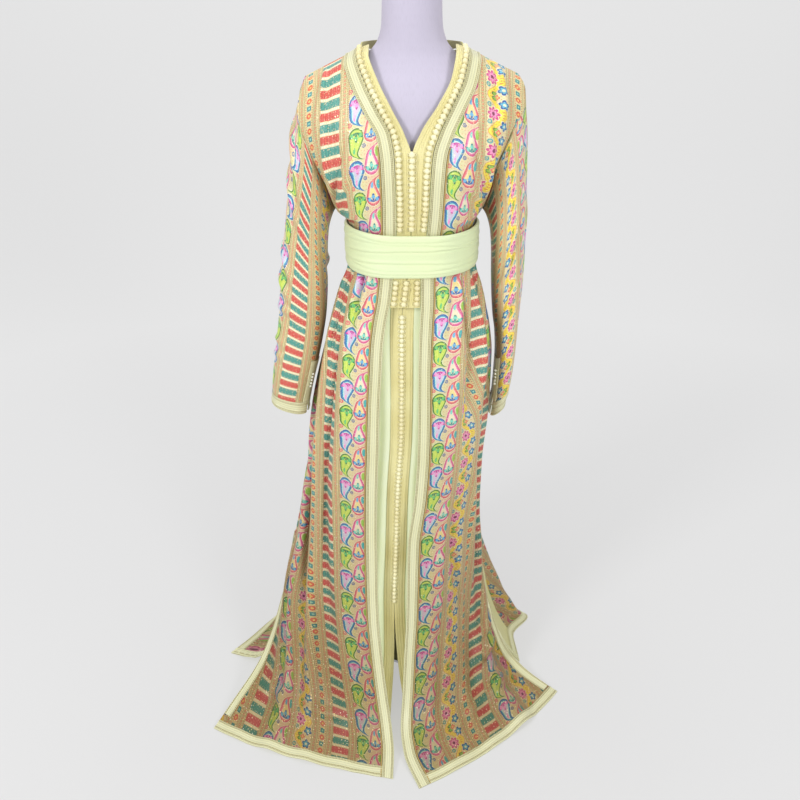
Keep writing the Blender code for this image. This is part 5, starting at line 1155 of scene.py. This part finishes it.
def fine(width, lines, half=0.0010):
    us = list(np.linspace(0, width, 9))
    for c in lines:
        us += [c - half, c - half * 0.6, c, c + half * 0.6, c + half]
    us = np.unique(np.round(np.clip(us, 0, width), 6))
    keep = [us[0]]
    for u in us[1:]:
        if u - keep[-1] > 0.00028:
            keep.append(u)
    return np.array(keep)

BORDER_LINES = (0.0016, 0.0042, 0.0218, 0.0244)
HEM_LINES = (0.0025, 0.0065, 0.0185, 0.0215)
for side in ("l", "r"):
    surf, flip = FRONT[side]
    us = fine(BORDER_W, BORDER_LINES)
    t = surf.t_even(260)
    ob = band_strip("trim_border_" + side, surf, flip, t, us, False, cord_profile(us, BORDER_LINES), (M_SATIN,))
    ready(ob, "front_border_" + side, "pale_satin", flat=(0.028, 1.66), held="stretched", rests_on=["robe_front_" + side])
    # the gold cord along the border's outer side
    S = surf.s_at([BORDER_W + 0.0022], t)[:, 0]
    P, N = surf.at(S, t)
    k = t > 4.4
    ob = new_mesh("cord_border_" + side, *tube((P + N * (CLOTH + 0.0012))[k], 0.0012, 6), (M_CORD,), smooth_angle=None)
    ob.data.uv_layers.new(name="UVMap"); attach(ob, "root")
    # hem band: rows measured up from the hem on each column
    hs = np.linspace(0, 1, 70)
    hu = fine(HEM_W, HEM_LINES)
    s_in = surf.s_at([BORDER_W + 0.0006], np.array([25.0]))[0, 0]; s_out = surf.s_at([0.0004], np.array([25.0]), True)[0, 0]
    cols = s_in + (s_out - s_in) * hs
    tt = np.linspace(23.0, 25.0, 161)
    TT = np.zeros((len(hu), len(cols)))
    for j, c in enumerate(cols):
        p, _ = surf.at(np.full(161, c), tt)
        v = np.concatenate([[0], np.cumsum(np.linalg.norm(np.diff(p, axis=0), axis=1))])
        TT[:, j] = np.interp(v[-1] - hu[::-1], v, tt)
    Sg = np.broadcast_to(cols[None], TT.shape)
    P, N = surf.at(Sg, TT)
    U_, V_ = surf.uv(Sg, TT)
    hh = cord_profile(hu, HEM_LINES)[::-1][:, None]
    ob = shell("trim_hem_" + side, P, N, LO, LO + hh + 0 * P[..., 0], (M_SATIN,), (np.broadcast_to(hu[::-1][:, None], Sg.shape), U_), flip)
    ready(ob, "hem_band_" + side, "pale_satin", flat=(0.025, 0.46), held="laid", rests_on=["robe_front_" + side])
    us = fine(SLIT_W, (0.0022, 0.0058, 0.0165, 0.0195))
    t = surf.t_even(90, 19.0, float(TT[0].min()) - 0.02)
    ob = band_strip("trim_slit_front_" + side, surf, flip, t, us, True, cord_profile(us, (0.0022, 0.0058, 0.0165, 0.0195)), (M_SATIN,))
    ready(ob, "slit_band_front_" + side, "pale_satin", flat=(0.024, 0.50), held="stretched", rests_on=["robe_front_" + side])

# ================================================================== the back
CREASES_B = (
    ("blade drape left",  0.22, 0.10, 0.40, 0.30, 0.016, 0.0050),
    ("blade drape right", 0.78, 0.10, 0.60, 0.30, 0.016, 0.0050),
    ("centre fold",       0.50, 0.42, 0.49, 1.40, 0.018, 0.0150),
    ("left fold",         0.34, 0.46, 0.32, 1.44, 0.017, 0.0140),
    ("right fold",        0.67, 0.45, 0.68, 1.42, 0.017, 0.0145),
    ("outer left fold",   0.19, 0.60, 0.16, 1.40, 0.015, 0.0110),
    ("outer right fold",  0.82, 0.58, 0.83, 1.40, 0.015, 0.0110),
    ("sash pull left",    0.40, 0.41, 0.42, 0.60, 0.009, 0.0040),
    ("sash pull right",   0.60, 0.41, 0.57, 0.62, 0.009, 0.0040),
    ("train break",       0.30, 1.36, 0.62, 1.39, 0.014, 0.0055),
)
fn, flip = back_fn()
SB = Surf(fn, flip, BACK_LAST, ns=281, nt=521, creases=CREASES_B, ripple=soft_ripple(11, 0.0016), edge=(0.03, 0.97), v_ref=0.5)
NC, NR = ((116, 190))
t = SB.t_even(NR)
S, T = np.meshgrid(np.linspace(0, 1, NC), t)
P, N = SB.at(S, T)
u, v = SB.uv(S, T)
mid = SB._bil(SB.U, np.full(len(t), 0.5), t)[:, None]
ob = shell("cloth_back", P, N, 0.0, CLOTH, (M_PRINT, M_INSIDE), (-(u - mid) + 0.0315, v + 0.02), flip)
mi = np.zeros(len(ob.data.polygons), np.int32); ob.data.polygons.foreach_get("material_index", mi)
sc = ((S[:-1, :-1] + S[1:, 1:]) / 2).ravel(); tc = ((T[:-1, :-1] + T[1:, 1:]) / 2).ravel()
lap = (sc > 0.945) & (tc > 19.15)
mi[:len(lap)][lap] = 1
ob.data.polygons.foreach_set("material_index", mi)
ready(ob, "robe_back", "robe_print", flat=(1.20, 1.57), held="draped", rests_on=["form_torso", "under_back"], area=1.00)
us = fine(SLIT_W, (0.0022, 0.0058, 0.0165, 0.0195))
hu = fine(HEM_W, HEM_LINES)
s_in = SB.s_at([SLIT_W + 0.0006], np.array([25.0]))[0, 0]; s_out = SB.s_at([SLIT_W + 0.0006], np.array([25.0]), True)[0, 0]
cols = s_in + (s_out - s_in) * np.linspace(0, 1, 150)
tt = np.linspace(22.6, 25.0, 201)
TT = np.zeros((len(hu), len(cols)))
for j, c in enumerate(cols):
    p, _ = SB.at(np.full(201, c), tt)
    vv = np.concatenate([[0], np.cumsum(np.linalg.norm(np.diff(p, axis=0), axis=1))])
    TT[:, j] = np.interp(vv[-1] - hu[::-1], vv, tt)
Sg = np.broadcast_to(cols[None], TT.shape)
P, N = SB.at(Sg, TT)
U_, V_ = SB.uv(Sg, TT)
hh = cord_profile(hu, HEM_LINES)[::-1][:, None]
ob = shell("trim_hem_back", P, N, LO, LO + hh + 0 * P[..., 0], (M_SATIN,), (np.broadcast_to(hu[::-1][:, None], Sg.shape), U_), flip)
ready(ob, "hem_band_back", "pale_satin", flat=(0.025, 1.12), held="laid", rests_on=["robe_back"])
t = SB.t_even(90, 19.0, 25.0)
for side, out in (("l", False), ("r", True)):
    ob = band_strip("trim_slit_back_" + side, SB, flip, t, us, out, cord_profile(us, (0.0022, 0.0058, 0.0165, 0.0195)), (M_SATIN,))
    ready(ob, "slit_band_back_" + side, "pale_satin", flat=(0.024, 0.44), held="stretched", rests_on=["robe_back"])

# stand collar
a = np.linspace(-math.pi / 2, math.pi / 2, 90)
W_ = np.linspace(0, 1, 9)
P = np.stack([collar_point(a, w) for w in W_]); N = np.stack([np.stack([np.sin(a), np.cos(a), 0 * a], -1)] * 9)
roll = 0.0010 * np.sin(np.pi * W_)[:, None]
ob = shell("trim_collar", P, N, -CLOTH, 0.0003 + roll + 0 * P[..., 0], (M_SATIN, M_INSIDE), (np.broadcast_to(a[None] * 0.1, P.shape[:2]), np.broadcast_to(W_[:, None] * 0.02, P.shape[:2])), -1.0)
ready(ob, "collar", "pale_satin", flat=(0.27, 0.026), held="stretched", rests_on=["robe_back"], area=0.0055)

# ================================================================== sleeves
CREASES_SL = (   # u shares run round the sleeve from its seam; v from the armhole
    ("elbow 1", 0.52, 0.33, 0.80, 0.38, 0.0100, 0.0060), ("elbow 2", 0.48, 0.39, 0.78, 0.42, 0.0095, 0.0055),
    ("elbow 3", 0.55, 0.45, 0.82, 0.47, 0.0090, 0.0048), ("arm drape 1", 0.40, 0.06, 0.86, 0.20, 0.0120, 0.0060),
    ("arm drape 2", 0.44, 0.13, 0.88, 0.28, 0.0110, 0.0055), ("outer long", 0.40, 0.10, 0.42, 0.55, 0.0120, 0.0045),
    ("wrist 1", 0.45, 0.53, 0.75, 0.55, 0.0080, 0.0040), ("wrist 2", 0.50, 0.58, 0.80, 0.59, 0.0075, 0.0036),
    ("back fold 1", 0.05, 0.20, 0.25, 0.34, 0.0100, 0.0050), ("back fold 2", 0.08, 0.36, 0.28, 0.44, 0.0095, 0.0050),
)
CREASES_SR = (
    ("elbow 1", 0.20, 0.33, 0.48, 0.38, 0.0100, 0.0060), ("elbow 2", 0.24, 0.40, 0.50, 0.43, 0.0095, 0.0055),
    ("arm drape 1", 0.15, 0.05, 0.55, 0.20, 0.0120, 0.0060), ("arm drape 2", 0.18, 0.15, 0.58, 0.30, 0.0110, 0.0060),
    ("outer long", 0.55, 0.12, 0.56, 0.56, 0.0120, 0.0045), ("wrist 1", 0.25, 0.53, 0.55, 0.56, 0.0080, 0.0040),
    ("back fold 1", 0.75, 0.20, 0.92, 0.34, 0.0100, 0.0050), ("back fold 2", 0.72, 0.38, 0.92, 0.46, 0.0095, 0.0050),
)
SLV = {}
for side in ("l", "r"):
    fn, flip = sleeve_fn(side)
    sf = Surf(fn, flip, 11, ns=181, nt=361, creases=CREASES_SL if side == "l" else CREASES_SR, ripple=soft_ripple(21 if side == "l" else 23, 0.0014, 1.0), edge=(0.03, 0.97), v_ref=0.5)
    # no crease where the sleeve is set in
    SLV[side] = (sf, flip)
    NC, NR = ((84, 160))
    t = sf.t_even(NR)
    S, T = np.meshgrid(np.linspace(0, 1, NC), t)
    P, N = sf.at(S, T)
    u, v = sf.uv(S, T)
    fn0 = fn(S, T)
    calm = step(T, 0.0, 0.7)[..., None] * (1 - step(T, 10.2, 10.9) * 0.6)[..., None]
    P = fn0 + (P - fn0) * calm
    total = sf._bil(sf.U, np.ones(len(t)), t)[:, None]
    seam = SLEEVE_SEAM[side]
    front_at = (0.25 - seam) % 1.0                       # where the sleeve faces the front, as a fraction round
    mid = sf._bil(sf.U, np.full(len(t), front_at), t)[:, None]
    if side == "l":
        uv = (0.1975 - (u - mid), v + 0.03)
    else:
        uv = ((u - mid) + 0.104, v + 0.05)
    ob = shell("cloth_sleeve_" + side, P, N, 0.0, CLOTH, (M_PRINT, M_INSIDE), uv, flip)
    ready(ob, "sleeve_" + side, "robe_print", flat=(0.60, 0.71), held="draped", rests_on=["form_torso"], area=0.192 if side == "l" else 0.173)
    # cuff band and slit facings, with thin cords
    t = sf.t_even(14, 10.3, 11.0)
    S, T = np.meshgrid(np.linspace(0, 1, 110), t)
    P, N = sf.at(S, T)
    fn0 = fn(S, T); P = fn0 + (P - fn0) * 0.4
    u, v = sf.uv(S, T)
    d = (v[-1:] - v)
    hh = cord_profile(d[:, 0], (0.003, 0.008, 0.030), half=0.0012)[:, None]
    ob = shell("trim_cuff_" + side, P, N, LO, LO + hh + 0 * S, (M_SATIN,), (np.broadcast_to(d, S.shape), u), flip)
    ready(ob, "cuff_band_" + side, "pale_satin", flat=(0.24, 0.033) if side == "l" else (0.20, 0.040), held="stretched", rests_on=["sleeve_" + side])
    for nm, a0, a1 in (("a", 0.0, 0.07), ("b", 0.93, 1.0)):
        t = sf.t_even(44, 8.0, 10.28)
        S, T = np.meshgrid(np.linspace(a0, a1, 10), t)
        P, N = sf.at(S, T)
        u, v = sf.uv(S, T)
        hh = np.array([0.0006, 0.0014, 0.0009, 0.0009, 0.0009, 0.0009, 0.0009, 0.0014, 0.0010, 0.0006])[None]
        ob = shell("trim_facing_%s_%s" % (nm, side), P, N, LO, LO + hh + 0 * S, (M_SATIN,), (u, v), flip)
        ready(ob, "cuff_facing_%s_%s" % (nm, side), "pale_satin", flat=(0.020, 0.118), held="stretched", rests_on=["sleeve_" + side])

# ================================================================== knotted buttons
def knot_mesh(radius, rings=9, seg=14):
    """A cord button: a slightly flattened ball with woven strands standing out of it."""
    th = np.linspace(0.0, math.pi, rings + 2)[1:-1]
    ph = np.linspace(0, 2 * math.pi, seg, endpoint=False)
    T, F = np.meshgrid(th, ph, indexing="ij")
    weave = np.abs(np.sin(2.0 * F + 2.2 * T)) * 0.5 + np.abs(np.sin(2.0 * F - 2.2 * T)) * 0.5
    r = radius * (0.86 + 0.20 * weave)
    v = np.stack([r * np.sin(T) * np.cos(F), r * np.sin(T) * np.sin(F), r * np.cos(T) * 0.92], -1).reshape(-1, 3)
    i, j = np.meshgrid(np.arange(rings - 1), np.arange(seg), indexing="ij")
    p = (i * seg + j).ravel(); q = (i * seg + (j + 1) % seg).ravel()
    f = [np.stack([p, q, q + seg, p + seg], 1)]
    v = np.concatenate([v, [[0, 0, radius * 0.86], [0, 0, -radius * 0.86]]])
    n = len(v); ring0 = np.arange(seg); ringn = (rings - 1) * seg + ring0
    f.append(np.stack([np.full(seg, n - 2), np.roll(ring0, -1), ring0, ring0], 1)[:, :4])
    f.append(np.stack([np.full(seg, n - 1), ringn, np.roll(ringn, -1), np.roll(ringn, -1)], 1)[:, :4])
    return v, np.concatenate(f)

def tri_mesh(name, parts, mat):
    """Joined closed pieces, as triangles (repeated corners dropped)."""
    vs, fs, k = [], [], 0
    for v, f in parts:
        t1, t2 = f[:, [0, 1, 2]], f[:, [0, 2, 3]]
        t = np.concatenate([t1, t2]); ok = (t[:, 0] != t[:, 1]) & (t[:, 1] != t[:, 2]) & (t[:, 0] != t[:, 2])
        vs.append(v); fs.append(t[ok] + k); k += len(v)
    v = np.concatenate(vs)
    ob = new_mesh(name, v, np.concatenate(fs), (mat,), None, v[:, [0, 2]], smooth_angle=None)
    recalc(ob)
    return ob

def even_line(P, N, pitch, phase=0.5):
    d = np.concatenate([[0], np.cumsum(np.linalg.norm(np.diff(P, axis=0), axis=1))])
    n = int(d[-1] / pitch)
    at = (np.arange(n) + phase) * (d[-1] / max(n, 1))
    f = lambda A: np.stack([np.interp(at, d, A[:, i]) for i in range(3)], -1)
    T = np.gradient(P, axis=0)
    T = f(T); T /= np.linalg.norm(T, axis=1, keepdims=True)
    M = f(N); M /= np.linalg.norm(M, axis=1, keepdims=True)
    return f(P), M, T, at

def button_row(name, node, mat, P, N, radius, pitch, side_loops=0.0, loops_dir=(1, -1)):
    """P on the cloth's face; buttons sit on it, each held by a thin cord loop lying across."""
    C, M, T, at = even_line(P, N, pitch)
    base = knot_mesh(radius)
    parts = []
    r = np.random.default_rng(len(name) * 7 + len(C))
    for c, m, t in zip(C, M, T):
        x = np.cross(t, m)
        j = 1 + r.uniform(-0.05, 0.05)
        c2 = c + m * radius * 0.80 + x * r.uniform(-0.0004, 0.0004) + t * r.uniform(-0.0003, 0.0003)
        w = r.uniform(0, 6.28)
        X, Y = x * math.cos(w) + t * math.sin(w), -x * math.sin(w) + t * math.cos(w)
        v = base[0] * j
        parts.append((c2 + v[:, :1] * X + v[:, 1:2] * Y + v[:, 2:] * m * 0.9, base[1]))
        if side_loops:
            for sg in loops_dir:
                q = np.linspace(0, 1, 9)[:, None]
                # a flat loop of cord from under the button out and back
                ang = math.pi * q
                line = c + m * 0.0011 + x * sg * (radius * 0.4 + side_loops * np.sin(ang)) + t * (pitch * 0.27 * np.cos(ang))
                parts.append(tube(line, 0.00085, 5))
    ob = tri_mesh(name, parts, mat)
    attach(ob, "root")
    for n in ([node] if isinstance(node, str) else node):
        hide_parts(n)
    return ob

# ================================================================== plastron
PL = {}
BUT_U = 0.77
for side in ("l", "r"):
    fn, flip = plastron_fn(side)
    last = PLASTRON_TAUS[-1]
    t = np.linspace(0, last, 300)
    ncol = 33
    S, T = np.meshgrid(np.linspace(0, 1, ncol), t)
    P = fn(S, T); N = Surf._normals(P, flip)
    U = np.concatenate([np.zeros((len(t), 1)), np.cumsum(np.linalg.norm(np.diff(P, axis=1), axis=2), axis=1)], 1)
    V = np.concatenate([[0], np.cumsum(np.linalg.norm(np.diff(P[:, 16], axis=0), axis=1))])[:, None]
    # braids: plaited strips either side of the button line, a flat strip under it
    w = U / np.maximum(U[:, -1:], 1e-6)
    plait = lambda c, half, pitch, sg: np.sqrt(np.maximum(0, 1 - ((w - c) / half) ** 2)) * (0.65 + 0.35 * np.abs(np.sin(math.pi * (V / pitch + sg * (w - c) / half * 0.55))))
    relief = 0.0013 * np.maximum.reduce([plait(0.07, 0.065, 0.0042, 1), plait(0.21, 0.065, 0.0042, -1), plait(0.36, 0.065, 0.0042, 1), plait(0.50, 0.065, 0.0042, -1), plait(0.95, 0.045, 0.0042, 1)])
    relief = relief * step(t, 0, 0.05)[:, None]
    ob = shell("trim_plastron_" + side, P, N, 0.0, CLOTH + relief, (M_BRAID, M_INSIDE), (U, V + 0 * U), flip)
    ready(ob, "plastron_" + side, "sfifa_braid", flat=(0.036, 0.56), held="stretched", rests_on=["form_torso", "under_front_" + side], area=0.0170)
    PL[side] = fn, flip
    for nm, (a_, b_) in (("buttons_", (0.12, 8.02)), ("buttons_low_", (9.99, 11.22))):
        tt = np.linspace(a_, b_, 300)
        Pb = fn(np.full(300, BUT_U), tt); Nb = normals_of(fn, np.full(300, BUT_U), tt, flip=flip)
        button_row("knots_" + nm + side, nm + side, M_KNOT, Pb + Nb * (CLOTH + 0.0002), Nb, BUTTON_R * 1.16, 0.0100, 0.0042)
for nm, (a_, b_) in (("buttons_", (4.75, 8.02)), ("buttons_low_", (9.99, 11.22))):
    tt = np.linspace(a_, b_, 300)
    Pc = (PL["l"][0](np.zeros(300), tt) + PL["r"][0](np.zeros(300), tt)) / 2
    Nc = np.tile(np.array([[0.0, -1.0, 0.06]]), (300, 1)); Nc /= np.linalg.norm(Nc, axis=1, keepdims=True)
    button_row("knots_" + nm + "c", nm + "c", M_KNOT, Pc + Nc * (CLOTH + 0.0005), Nc, BUTTON_R * 1.24, 0.0104, 0.0060)

# cuff buttons
for side in ("l", "r"):
    sf, flip = SLV[side]
    tt = np.linspace(8.5, 9.36, 100)
    P, N = sf.at(np.full(100, 0.968), tt)
    button_row("knots_cuff_" + side, "cuff_buttons_" + side, M_WHITE, P + N * (LO + 0.0013), N, 0.0031, 0.0072)

# ================================================================== underdress
CREASES_U = (
    ("fall 1", 0.30, 0.20, 0.34, 1.25, 0.013, 0.0060), ("fall 2", 0.52, 0.22, 0.50, 1.22, 0.014, 0.0065), ("fall 3", 0.74, 0.24, 0.78, 1.20, 0.014, -0.0045),
)
UNDER_S = {}
def under_ripple(S, T, U, V, W):
    return 0.0030 * np.sin(2 * math.pi * U / 0.036 + 2.2 * np.sin(V * 3.0)) * step(T, 5.5, 11.0) * step(U, 0.020, 0.034)
for side in ("l", "r"):
    fn, flip = under_fn(side)
    sf = Surf(fn, flip, 17, ns=121, nt=361, creases=CREASES_U, ripple=under_ripple, edge=(0.06, 0.96))
    UNDER_S[side] = sf, flip
    t = sf.t_even(170)
    S, T = np.meshgrid(np.linspace(0, 1, 56), t)
    P, N = sf.at(S, T)
    # only the part above the calm waist is kept still
    ob = shell("cloth_under_" + side, P, N, 0.0, CLOTH, (M_MINT, M_INSIDE), sf.uv(S, T), flip)
    ready(ob, "under_front_" + side, "mint_satin", flat=(0.49, 1.33), held="draped", rests_on=["form_torso"], area=0.38)
    us = np.linspace(0, UNDER_BAND, 22)
    t = sf.t_even(380, 3.0, 17.0)
    Sg = sf.s_at(us, t); Tg = np.repeat(t[:, None], len(us), 1)
    P, N = sf.at(Sg, Tg)
    V = np.interp(t, sf.t, sf.V)[:, None]
    w = us[None] / UNDER_BAND
    plait = lambda c, half, pitch, sg: np.sqrt(np.maximum(0, 1 - ((w - c) / half) ** 2)) * (0.65 + 0.35 * np.abs(np.sin(math.pi * (V / pitch + sg * (w - c) / half * 0.55))))
    relief = 0.0006 + 0.0012 * np.maximum.reduce([plait(0.16, 0.12, 0.0046, 1), plait(0.42, 0.12, 0.0046, -1), plait(0.67, 0.12, 0.0046, 1), plait(0.93, 0.07, 0.0046, -1)])
    ob = shell("trim_placket_" + side, P, N, LO, LO + relief, (M_BRAID,), (np.broadcast_to(us[None], Sg.shape), np.broadcast_to(V, Sg.shape)), flip)
    ready(ob, "under_band_" + side, "sfifa_braid", flat=(0.0245, 1.25), held="stretched", rests_on=["under_front_" + side])
fn, flip = under_fn("b")
sf = Surf(fn, flip, 17, ns=161, nt=301, creases=(("fall 1", 0.25, 0.3, 0.24, 1.2, 0.018, -0.0060), ("fall 2", 0.5, 0.3, 0.51, 1.2, 0.018, -0.0065), ("fall 3", 0.75, 0.3, 0.76, 1.2, 0.018, -0.0060)), edge=(0.04, 0.96), v_ref=0.5)
t = sf.t_even(120)
S, T = np.meshgrid(np.linspace(0, 1, 90), t)
P, N = sf.at(S, T)
ob = shell("cloth_under_back", P, N, 0.0, CLOTH, (M_MINT, M_INSIDE), sf.uv(S, T), flip)
ready(ob, "under_back", "mint_satin", flat=(0.90, 1.33), held="draped", rests_on=["form_torso"], area=0.645)
tt = np.linspace(5.72, UNDER_SLIT_ROW, 400)
zc = {k: smooth(v, tt) for k, v in UD.items()}
Pu = np.stack([zc["xp"], zc["yp"] - 0.0010, zc["z"]], -1)
Nu = np.tile(np.array([[0.0, -1.0, 0.10]]), (400, 1)); Nu /= np.linalg.norm(Nu, axis=1, keepdims=True)
button_row("knots_under", "under_buttons", M_KNOT, Pu + Nu * 0.0012, Nu, BUTTON_R * 1.10, 0.0100, 0.0060)

# ================================================================== sash
# pleats: height up the sash (0 foot, 1 top), depth, wobble and its turns round the body
PLEATS = (("foot roll", 0.05, 0.0012, 0.02, 1.0), ("fold 1", 0.20, 0.0016, 0.05, 1.4), ("fold 2", 0.36, 0.0019, 0.06, 0.9), ("fold 3", 0.55, 0.0017, 0.07, 1.7),
          ("fold 4", 0.72, 0.0018, 0.05, 1.2), ("fold 5", 0.88, 0.0013, 0.03, 1.5))
n = 280
zs = np.linspace(0, 1, 64)
rings = [belt_ring(BELT_Z[0] + (BELT_Z[1] - BELT_Z[0]) * z, n) for z in zs]
P = np.stack([r[0] for r in rings]); N = np.stack([r[1] for r in rings])
ang = np.linspace(0, 2 * math.pi, n, endpoint=False)[None]
Z = zs[:, None]
puff = 0.0046 + 0.0010 * np.sin(np.pi * np.clip(Z, 0, 1))
for k, (_, z0, dep, wob, turns) in enumerate(PLEATS):
    zc_ = z0 + wob * np.sin(turns * ang + 1.7 * k) + 0.5 * wob * np.sin((2 + k % 3) * ang + k)
    q = (Z - zc_) / 0.050
    fade = 0.45 + 0.55 * (0.5 + 0.5 * np.sin(ang * (1 + k % 3) + 2.1 * k))
    puff = puff + dep * fade * (np.exp(-(q - 0.9) ** 2) * 0.8 - np.exp(-(q * 1.9) ** 2))
puff = np.maximum(puff, 0.0022)
edge_in = 0.0020 * (1 - step(Z, 0.0, 0.05)) + 0.0020 * step(Z, 0.95, 1.0)
puff = puff - edge_in
P = P.copy(); P[..., 2] += (0.0010 * np.sin(2 * ang + 0.6) * (2 * Z - 1))
circ = np.cumsum(np.concatenate([[0], np.linalg.norm(np.diff(P[0], axis=0), axis=1)]))[None]
ob = shell("cloth_sash", P[::-1], N[::-1], 0.0, puff[::-1], (M_SASH,), (np.broadcast_to(circ, puff.shape), np.broadcast_to(Z[::-1] * 0.088, puff.shape)), 1.0, closed=True)
ready(ob, "sash", "sash_crepe", flat=(0.86, 0.088), held="stretched", rests_on=["robe_front_l", "robe_front_r", "robe_back"])

# ================================================================== the form
zt = np.linspace(0, len(FORM) - 1, 200)
cols = {k: smooth([r[i] for r in FORM], zt) for i, k in enumerate(FORM_COLUMNS) if i}
seg = 96
w = np.linspace(0, 2 * math.pi, seg, endpoint=False)
Y = -np.cos(w)[None]
dep = np.where(Y < 0, cols["yf"][:, None], cols["yb"][:, None])
P = np.stack([cols["a"][:, None] * np.sin(w)[None], Y * dep, np.broadcast_to(cols["z"][:, None], (200, seg))], -1)
P = P * np.array([0.999, 0.999, 1.0])
foot = P[0] * np.array([0.0, 0.0, 1.0]); head = P[-1] * np.array([0.0, 0.0, 1.0])
caps = [P[0] * np.array([k, k, 1.0]) + np.array([0, 0, dz]) for k, dz in ((0.02, 0.0004), (0.6, 0.0003), (0.985, 0.0003))]
top = [P[-1] * np.array([k, k, 1.0]) + np.array([0, 0, dz]) for k, dz in ((0.985, -0.0002), (0.6, -0.0002), (0.02, -0.0002))]
G_ = np.stack(caps + list(P) + top)
r_, c_ = G_.shape[:2]
i, j = np.meshgrid(np.arange(r_ - 1), np.arange(c_), indexing="ij")
a_ = (i * c_ + j).ravel(); b_ = (i * c_ + (j + 1) % c_).ravel()
v = G_.reshape(-1, 3)
f = np.concatenate([np.stack([a_, b_, b_ + c_, a_ + c_], 1)])
ends = [list(range(c_))[::-1], [(r_ - 1) * c_ + k for k in range(c_)]]
ob = new_mesh("form_shape", v, f, (M_FORM,), None, np.stack([np.arctan2(v[:, 0], -v[:, 1]) * 0.12, v[:, 2]], -1))
bm = bmesh.new(); bm.from_mesh(ob.data); bm.verts.ensure_lookup_table()
for e_ in ends:
    bm.faces.new([bm.verts[k] for k in e_])
bmesh.ops.recalc_face_normals(bm, faces=bm.faces[:]); bm.to_mesh(ob.data); bm.free()
ob.data.shade_smooth(); ob.data.set_sharp_from_angle(angle=math.radians(50))
ready(ob, "form_torso", "form_skin")
for node in ("form_neck_cap", "form_pole", "form_base"):
    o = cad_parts[node]
    o.data.materials.clear(); o.data.materials.append(M_METAL)
    o.data.shade_smooth(); o.data.set_sharp_from_angle(angle=math.radians(35))

# ================================================================== stage, light, camera
mat, nt, b = principled("backdrop", Roughness=0.9, Emission_Color=(1.0, 1.0, 1.0, 1.0), Emission_Strength=0.53)
gn = nt.nodes.new("ShaderNodeNewGeometry")
nn = noise(nt, gn.outputs["Position"], 0.6, 1.0)
nt.links.new(over(nt, lin(146, 146, 146), lin(143, 143, 144), nn), b.inputs["Base Color"])
sp_ = nt.nodes.new("ShaderNodeSeparateXYZ"); nt.links.new(gn.outputs["Position"], sp_.inputs[0])
far = (hyp(E(nt, sp_.outputs[0]), E(nt, sp_.outputs[1]) + 0.3)).m("MULTIPLY_ADD", 1 / 2.4, -0.25, clamp=True)
nt.links.new((far * 0.100 + 0.470).o, b.inputs["Emission Strength"])       # keeps the floor as pale as the wall behind it
prof = [(-4.0, 0.0)] + [(2.4, 0.0)] + [(2.4 + 1.6 * math.sin(q), 1.6 - 1.6 * math.cos(q)) for q in np.linspace(0.05, math.pi / 2, 24)] + [(4.0, 6.0)]
vs = [(x, y, z - 0.0004) for y, z in prof for x in (-7.0, 7.0)]
fs = [(2 * k, 2 * k + 1, 2 * k + 3, 2 * k + 2) for k in range(len(prof) - 1)]
me = bpy.data.meshes.new("backdrop"); me.from_pydata(vs, [], fs); me.update(); me.shade_smooth(); me.materials.append(mat)
ob = bpy.data.objects.new("backdrop", me); bpy.context.scene.collection.objects.link(ob)

world = bpy.data.worlds.new("studio"); bpy.context.scene.world = world; world.use_nodes = True
bg = world.node_tree.nodes["Background"]; bg.inputs[0].default_value = (1.0, 1.0, 1.0, 1); bg.inputs[1].default_value = 0.34
def area(name, loc, target, size, power, colour=(1, 1, 1)):
    l = bpy.data.lights.new(name, "AREA"); l.shape = "RECTANGLE"; l.size, l.size_y = size; l.energy = power; l.color = colour
    o = bpy.data.objects.new(name, l); bpy.context.scene.collection.objects.link(o)
    o.location = loc
    from mathutils import Vector
    o.rotation_euler = (Vector(target) - Vector(loc)).to_track_quat("-Z", "Y").to_euler()
    return o
area("key", (-2.3, -2.1, 2.5), (0.05, 0.1, 0.8), (0.8, 0.8), 60)
area("fill", (2.0, -2.7, 2.0), (0.05, 0.1, 0.8), (1.0, 1.0), 52)
area("top", (0.0, 0.2, 3.4), (0.05, 0.1, 0.8), (2.0, 2.0), 30)

cam = bpy.data.cameras.new("camera"); co = bpy.data.objects.new("camera", cam)
bpy.context.scene.collection.objects.link(co)
cam.sensor_width = 36.0; cam.lens = 33.93; cam.shift_x = -0.015
co.rotation_euler = (math.radians(90 - 27.58), 0, 0)
co.location = (SHIFT[0], -1.6 + SHIFT[1], 1.563)
cam.clip_start = 0.05; cam.clip_end = 60
bpy.context.scene.camera = co
bpy.context.scene.view_settings.view_transform = "Standard"

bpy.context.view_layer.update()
